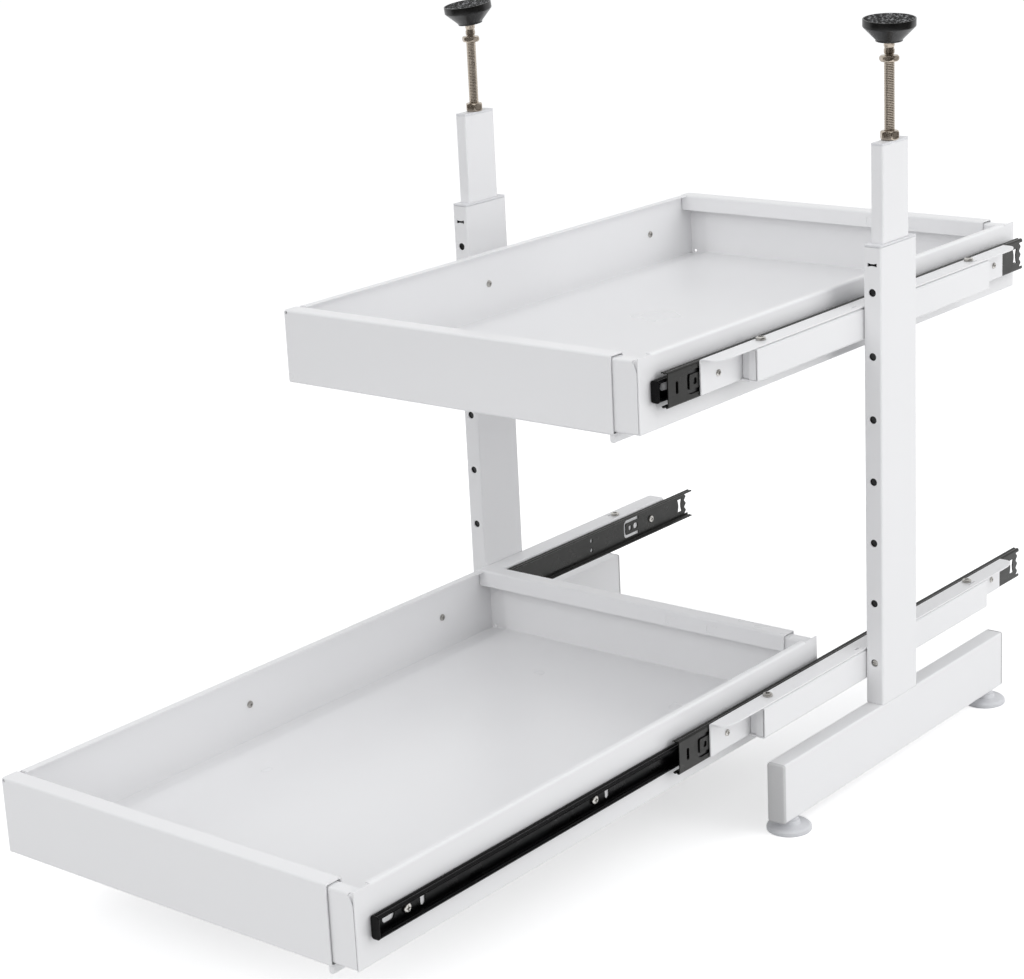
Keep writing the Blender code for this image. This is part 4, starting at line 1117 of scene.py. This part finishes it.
for side in SIDES:
    centre = (outwards(side, POST_AXIS), POST_Y)
    socket = ball_profile(SOCKET_RADIUS, BALL_CENTRE, math.asin(MOUTH_RADIUS / SOCKET_RADIUS))
    seat = PAD_RADIUS - GRIP_INSET
    cone = rounded([(PAD_BASE, PAD_LOW), (PAD_BASE + 0.2, PAD_LOW + 1.2), (PAD_RADIUS - 0.6, PAD_SHOULDER),
                    (PAD_RADIUS, PAD_SHOULDER + 0.8), (PAD_RADIUS, PAD_TOP), (seat, PAD_TOP),
                    (seat, PAD_TOP - 1.3)], 0.3, 3)
    flare = [(MOUTH_RADIUS, PAD_LOW + 1.2), (MOUTH_RADIUS + 0.8, PAD_LOW)]
    profile = np.vstack([socket[::-1], flare, cone, [(0, PAD_TOP - 1.3)]])
    pad = add_piece(f"{side}_ceiling_pad", [tipped(turned(profile, centre, "z", 64), side)])
    finish(pad, f"{side}_pad", f"{side}_pad", "black_plastic", 0)
    rings = np.linspace(0.4, PAD_RADIUS - 1.5, 40)[:, None]
    angle = full_turn(120)
    x, y = rings * np.cos(angle), rings * np.sin(angle)
    knobs = np.clip(np.sin(x * 2 * math.pi / KNOB_PITCH) * np.sin(y * 2 * math.pi / KNOB_PITCH), 0, 1)
    z = PAD_TOP + 0.4 - KNOB_HEIGHT + KNOB_HEIGHT * np.sqrt(knobs)
    face = np.stack([centre[0] + x, centre[1] + y, z], axis=-1)
    under = face[-1:].copy()
    under[..., 2] = PAD_TOP - 1
    grip = add_piece(f"{side}_grip_disc", [tipped(capped(np.concatenate([face, under])), side)])
    finish(grip, f"{side}_pad", f"{side}_pad_tread", "black_rubber", 0)

# %% [markdown]
# ## Levelling feet
# Each base stands on two milky plastic saucers on studs that screw up into it. The saucer is turned
# from a profile with soft bends, and its stud carries a real thread, though little of it shows.

# %% Feet
FOOT_RADIUS = 17
STUD_ENDS = (10.6, 36.7)
SAUCER = rounded([(0, 0), (FOOT_RADIUS, 0), (FOOT_RADIUS, 3), (FOOT_RADIUS - 1.6, 4.3), (8.6, 5.2),
                  (7.8, 8.2), (6.5, 8.6), (6.5, 10.7), (0, 10.7)], 0.5, 4)

for side in SIDES:
    for end, along in FOOT_PLACES.items():
        centre = (outwards(side, POST_AXIS), along)
        shells = [turned(SAUCER, centre, "z", 56), thread(centre, *STUD_ENDS)]
        foot = add_piece(f"{side}_{end}_saucer", shells)
        finish(foot, f"{side}_{end}_foot", f"{side}_{end}_foot", "white_plastic", 0, "milky_plastic")

# %% [markdown]
# ## Camera
# The photograph was taken from the front right with a longish lens. Its place and turns come from
# matching points of the object in the picture: azimuth, pitch and a slight roll. The camera's axes
# are built from these three angles, so that nothing has to be aimed by eye.

# %% Camera
AZIMUTH = math.radians(39.7209)
PITCH = math.radians(16.8338)
ROLL = math.radians(-2.8821)
CAMERA_PLACE = (1.14029, -1.42340, 0.79252)
LENS = 87.388


def placed(name, data, place, axes):
    """A new object at a place, with its own X, Y and Z along three axes."""
    thing = bpy.data.objects.new(name, data)
    turn = Matrix(np.stack(axes, axis=1).tolist()).to_4x4()
    thing.matrix_world = Matrix.Translation(place) @ turn
    bpy.context.scene.collection.objects.link(thing)
    return thing


ahead = np.array([-math.sin(AZIMUTH) * math.cos(PITCH), math.cos(AZIMUTH) * math.cos(PITCH),
                  -math.sin(PITCH)])
level = np.array([math.cos(AZIMUTH), math.sin(AZIMUTH), 0])
above = np.cross(level, ahead)
right = math.cos(ROLL) * level + math.sin(ROLL) * above
up = math.cos(ROLL) * above - math.sin(ROLL) * level
camera_data = bpy.data.cameras.new("camera")
camera_data.lens = LENS
camera_data.sensor_width = 36
camera_data.sensor_fit = "HORIZONTAL"
camera_data.clip_end = 200
bpy.context.scene.camera = placed("camera", camera_data, CAMERA_PLACE, [right, up, -ahead])
print("the camera looks", np.round(ahead, 3))

# %% [markdown]
# ## Floor
# A pale studio floor has to look white and still hold the object's shadow. Brighter lamps would burn
# out the white trays, so the floor gets a whiter colour and a faint glow that only camera, glossy and
# transmission rays see, and other rays find an ordinary pale floor.

# %% Floor
FLOOR_SIZE = 30
FLOOR_GLOW = 0.47


def seen_directly(tree):
    """1 for camera, glossy and transmission rays, and 0 for all others."""
    rays = add(tree, "ShaderNodeLightPath").outputs
    seen = rays["Is Camera Ray"]
    for kind in ("Is Glossy Ray", "Is Transmission Ray"):
        seen = add(tree, "ShaderNodeMath", {0: seen, 1: rays[kind]}, operation="MAXIMUM").outputs["Value"]
    return seen


def staged(name, corners, quads, material):
    """A studio prop, which isn't part of the object."""
    mesh = bpy.data.meshes.new(name)
    mesh.from_pydata(corners.tolist(), [], quads)
    mesh.materials.append(material)
    prop = bpy.data.objects.new(name, mesh)
    bpy.context.scene.collection.objects.link(prop)
    return prop


paint = bpy.data.materials.new("studio_floor")
paint.use_nodes = True
tree = paint.node_tree
tree.nodes.remove(tree.nodes["Principled BSDF"])
seen = seen_directly(tree)
matt = add(tree, "ShaderNodeBsdfDiffuse", {"Color": tinted(tree, seen, "#CFCFCF", "#FFFFFF")})
strength = add(tree, "ShaderNodeMath", {0: seen, 1: FLOOR_GLOW}, operation="MULTIPLY")
glow = add(tree, "ShaderNodeEmission", {"Strength": strength.outputs["Value"]})
both = add(tree, "ShaderNodeAddShader", {0: matt.outputs["BSDF"], 1: glow.outputs["Emission"]})
feed(tree, tree.nodes["Material Output"], {"Surface": both.outputs["Shader"]})
corners = np.array([(-1, -1, 0), (1, -1, 0), (1, 1, 0), (-1, 1, 0)], float) * FLOOR_SIZE / 2
staged("floor", corners, [(0, 1, 2, 3)], paint)

# %% [markdown]
# ## Light
# The photograph has soft light from all round, a little stronger from the right and above, so the
# trays' right sides are brightest and their fronts a shade darker. The world gives the even part, and
# soft boxes from the right, the front and above the rest. To camera, glossy and transmission rays the
# world is plain white. Photographers also hang dark flags for metal and black plastic to reflect, or
# they would look as white as the room. A flag is cloth on a frame, here bent round the front like a
# screen.

# %% World and soft boxes
WORLD_LEVEL = 0.54
AIM = (0, 0, 0.2)
world = bpy.data.worlds.new("studio")
world.use_nodes = True
bpy.context.scene.world = world
tree = world.node_tree
tree.nodes.clear()
even = add(tree, "ShaderNodeBackground", {"Color": colour("#FCFDFF"), "Strength": WORLD_LEVEL})
plain = add(tree, "ShaderNodeBackground", {"Color": colour("#FFFFFF"), "Strength": 1})
mixed = add(tree, "ShaderNodeMixShader", {0: seen_directly(tree), 1: even.outputs["Background"],
                                          2: plain.outputs["Background"]})
add(tree, "ShaderNodeOutputWorld", {"Surface": mixed.outputs["Shader"]})

BOXES = (("right_box", (2.4, 1, 1.7), 2.4, 25), ("low_box", (2.8, 0.4, 0.6), 1.2, 10),
         ("front_box", (0.2, -3.1, 2.1), 2.4, 31), ("top_box", (-0.4, -0.8, 3.2), 2.4, 13))
for name, place, size, power in BOXES:
    lamp = bpy.data.lights.new(name, "AREA")
    lamp.shape = "SQUARE"
    lamp.size = size
    lamp.energy = power
    away = np.array(place, float) - np.array(AIM, float)
    away /= np.linalg.norm(away)
    across = np.cross((0, 0, 1), away)
    across /= np.linalg.norm(across)
    placed(name, lamp, place, [across, np.cross(away, across), away])

# %% A curved flag round the front, which only reflections see, darkens the rods and the pads
FLAG_RADIUS = 1.5
FLAG_HEIGHT = 2.2
FLAG_SPAN = math.radians(97)
FLAG_STEPS = 40
cloth = bpy.data.materials.new("flag_cloth")
cloth.use_nodes = True
feed(cloth.node_tree, cloth.node_tree.nodes["Principled BSDF"],
     {"Base Color": colour("#5C554E"), "Roughness": 1, "Specular IOR Level": 0})
bend = AZIMUTH - math.pi / 2 + np.linspace(-FLAG_SPAN, FLAG_SPAN, FLAG_STEPS)
hem = np.hstack([FLAG_RADIUS * circle(bend), np.full((FLAG_STEPS, 1), 0.001)])
corners, quads, _ = grid(np.stack([hem, hem + (0, 0, FLAG_HEIGHT)]))
flag = staged("flag", corners, quads.tolist(), cloth)
flag.visible_camera = False
flag.visible_diffuse = False
flag.visible_shadow = False

# %% [markdown]
# ## Colours as they are written, and the heaviest pieces
# The Standard view shows a colour about as its hex value says. Last, the pieces with the most
# triangles are printed, with the sum of all.

# %% View and triangle counts
bpy.context.scene.view_settings.view_transform = "Standard"
print("heaviest pieces:", sorted(triangles.items(), key=lambda item: -item[1])[:3], sum(triangles.values()))
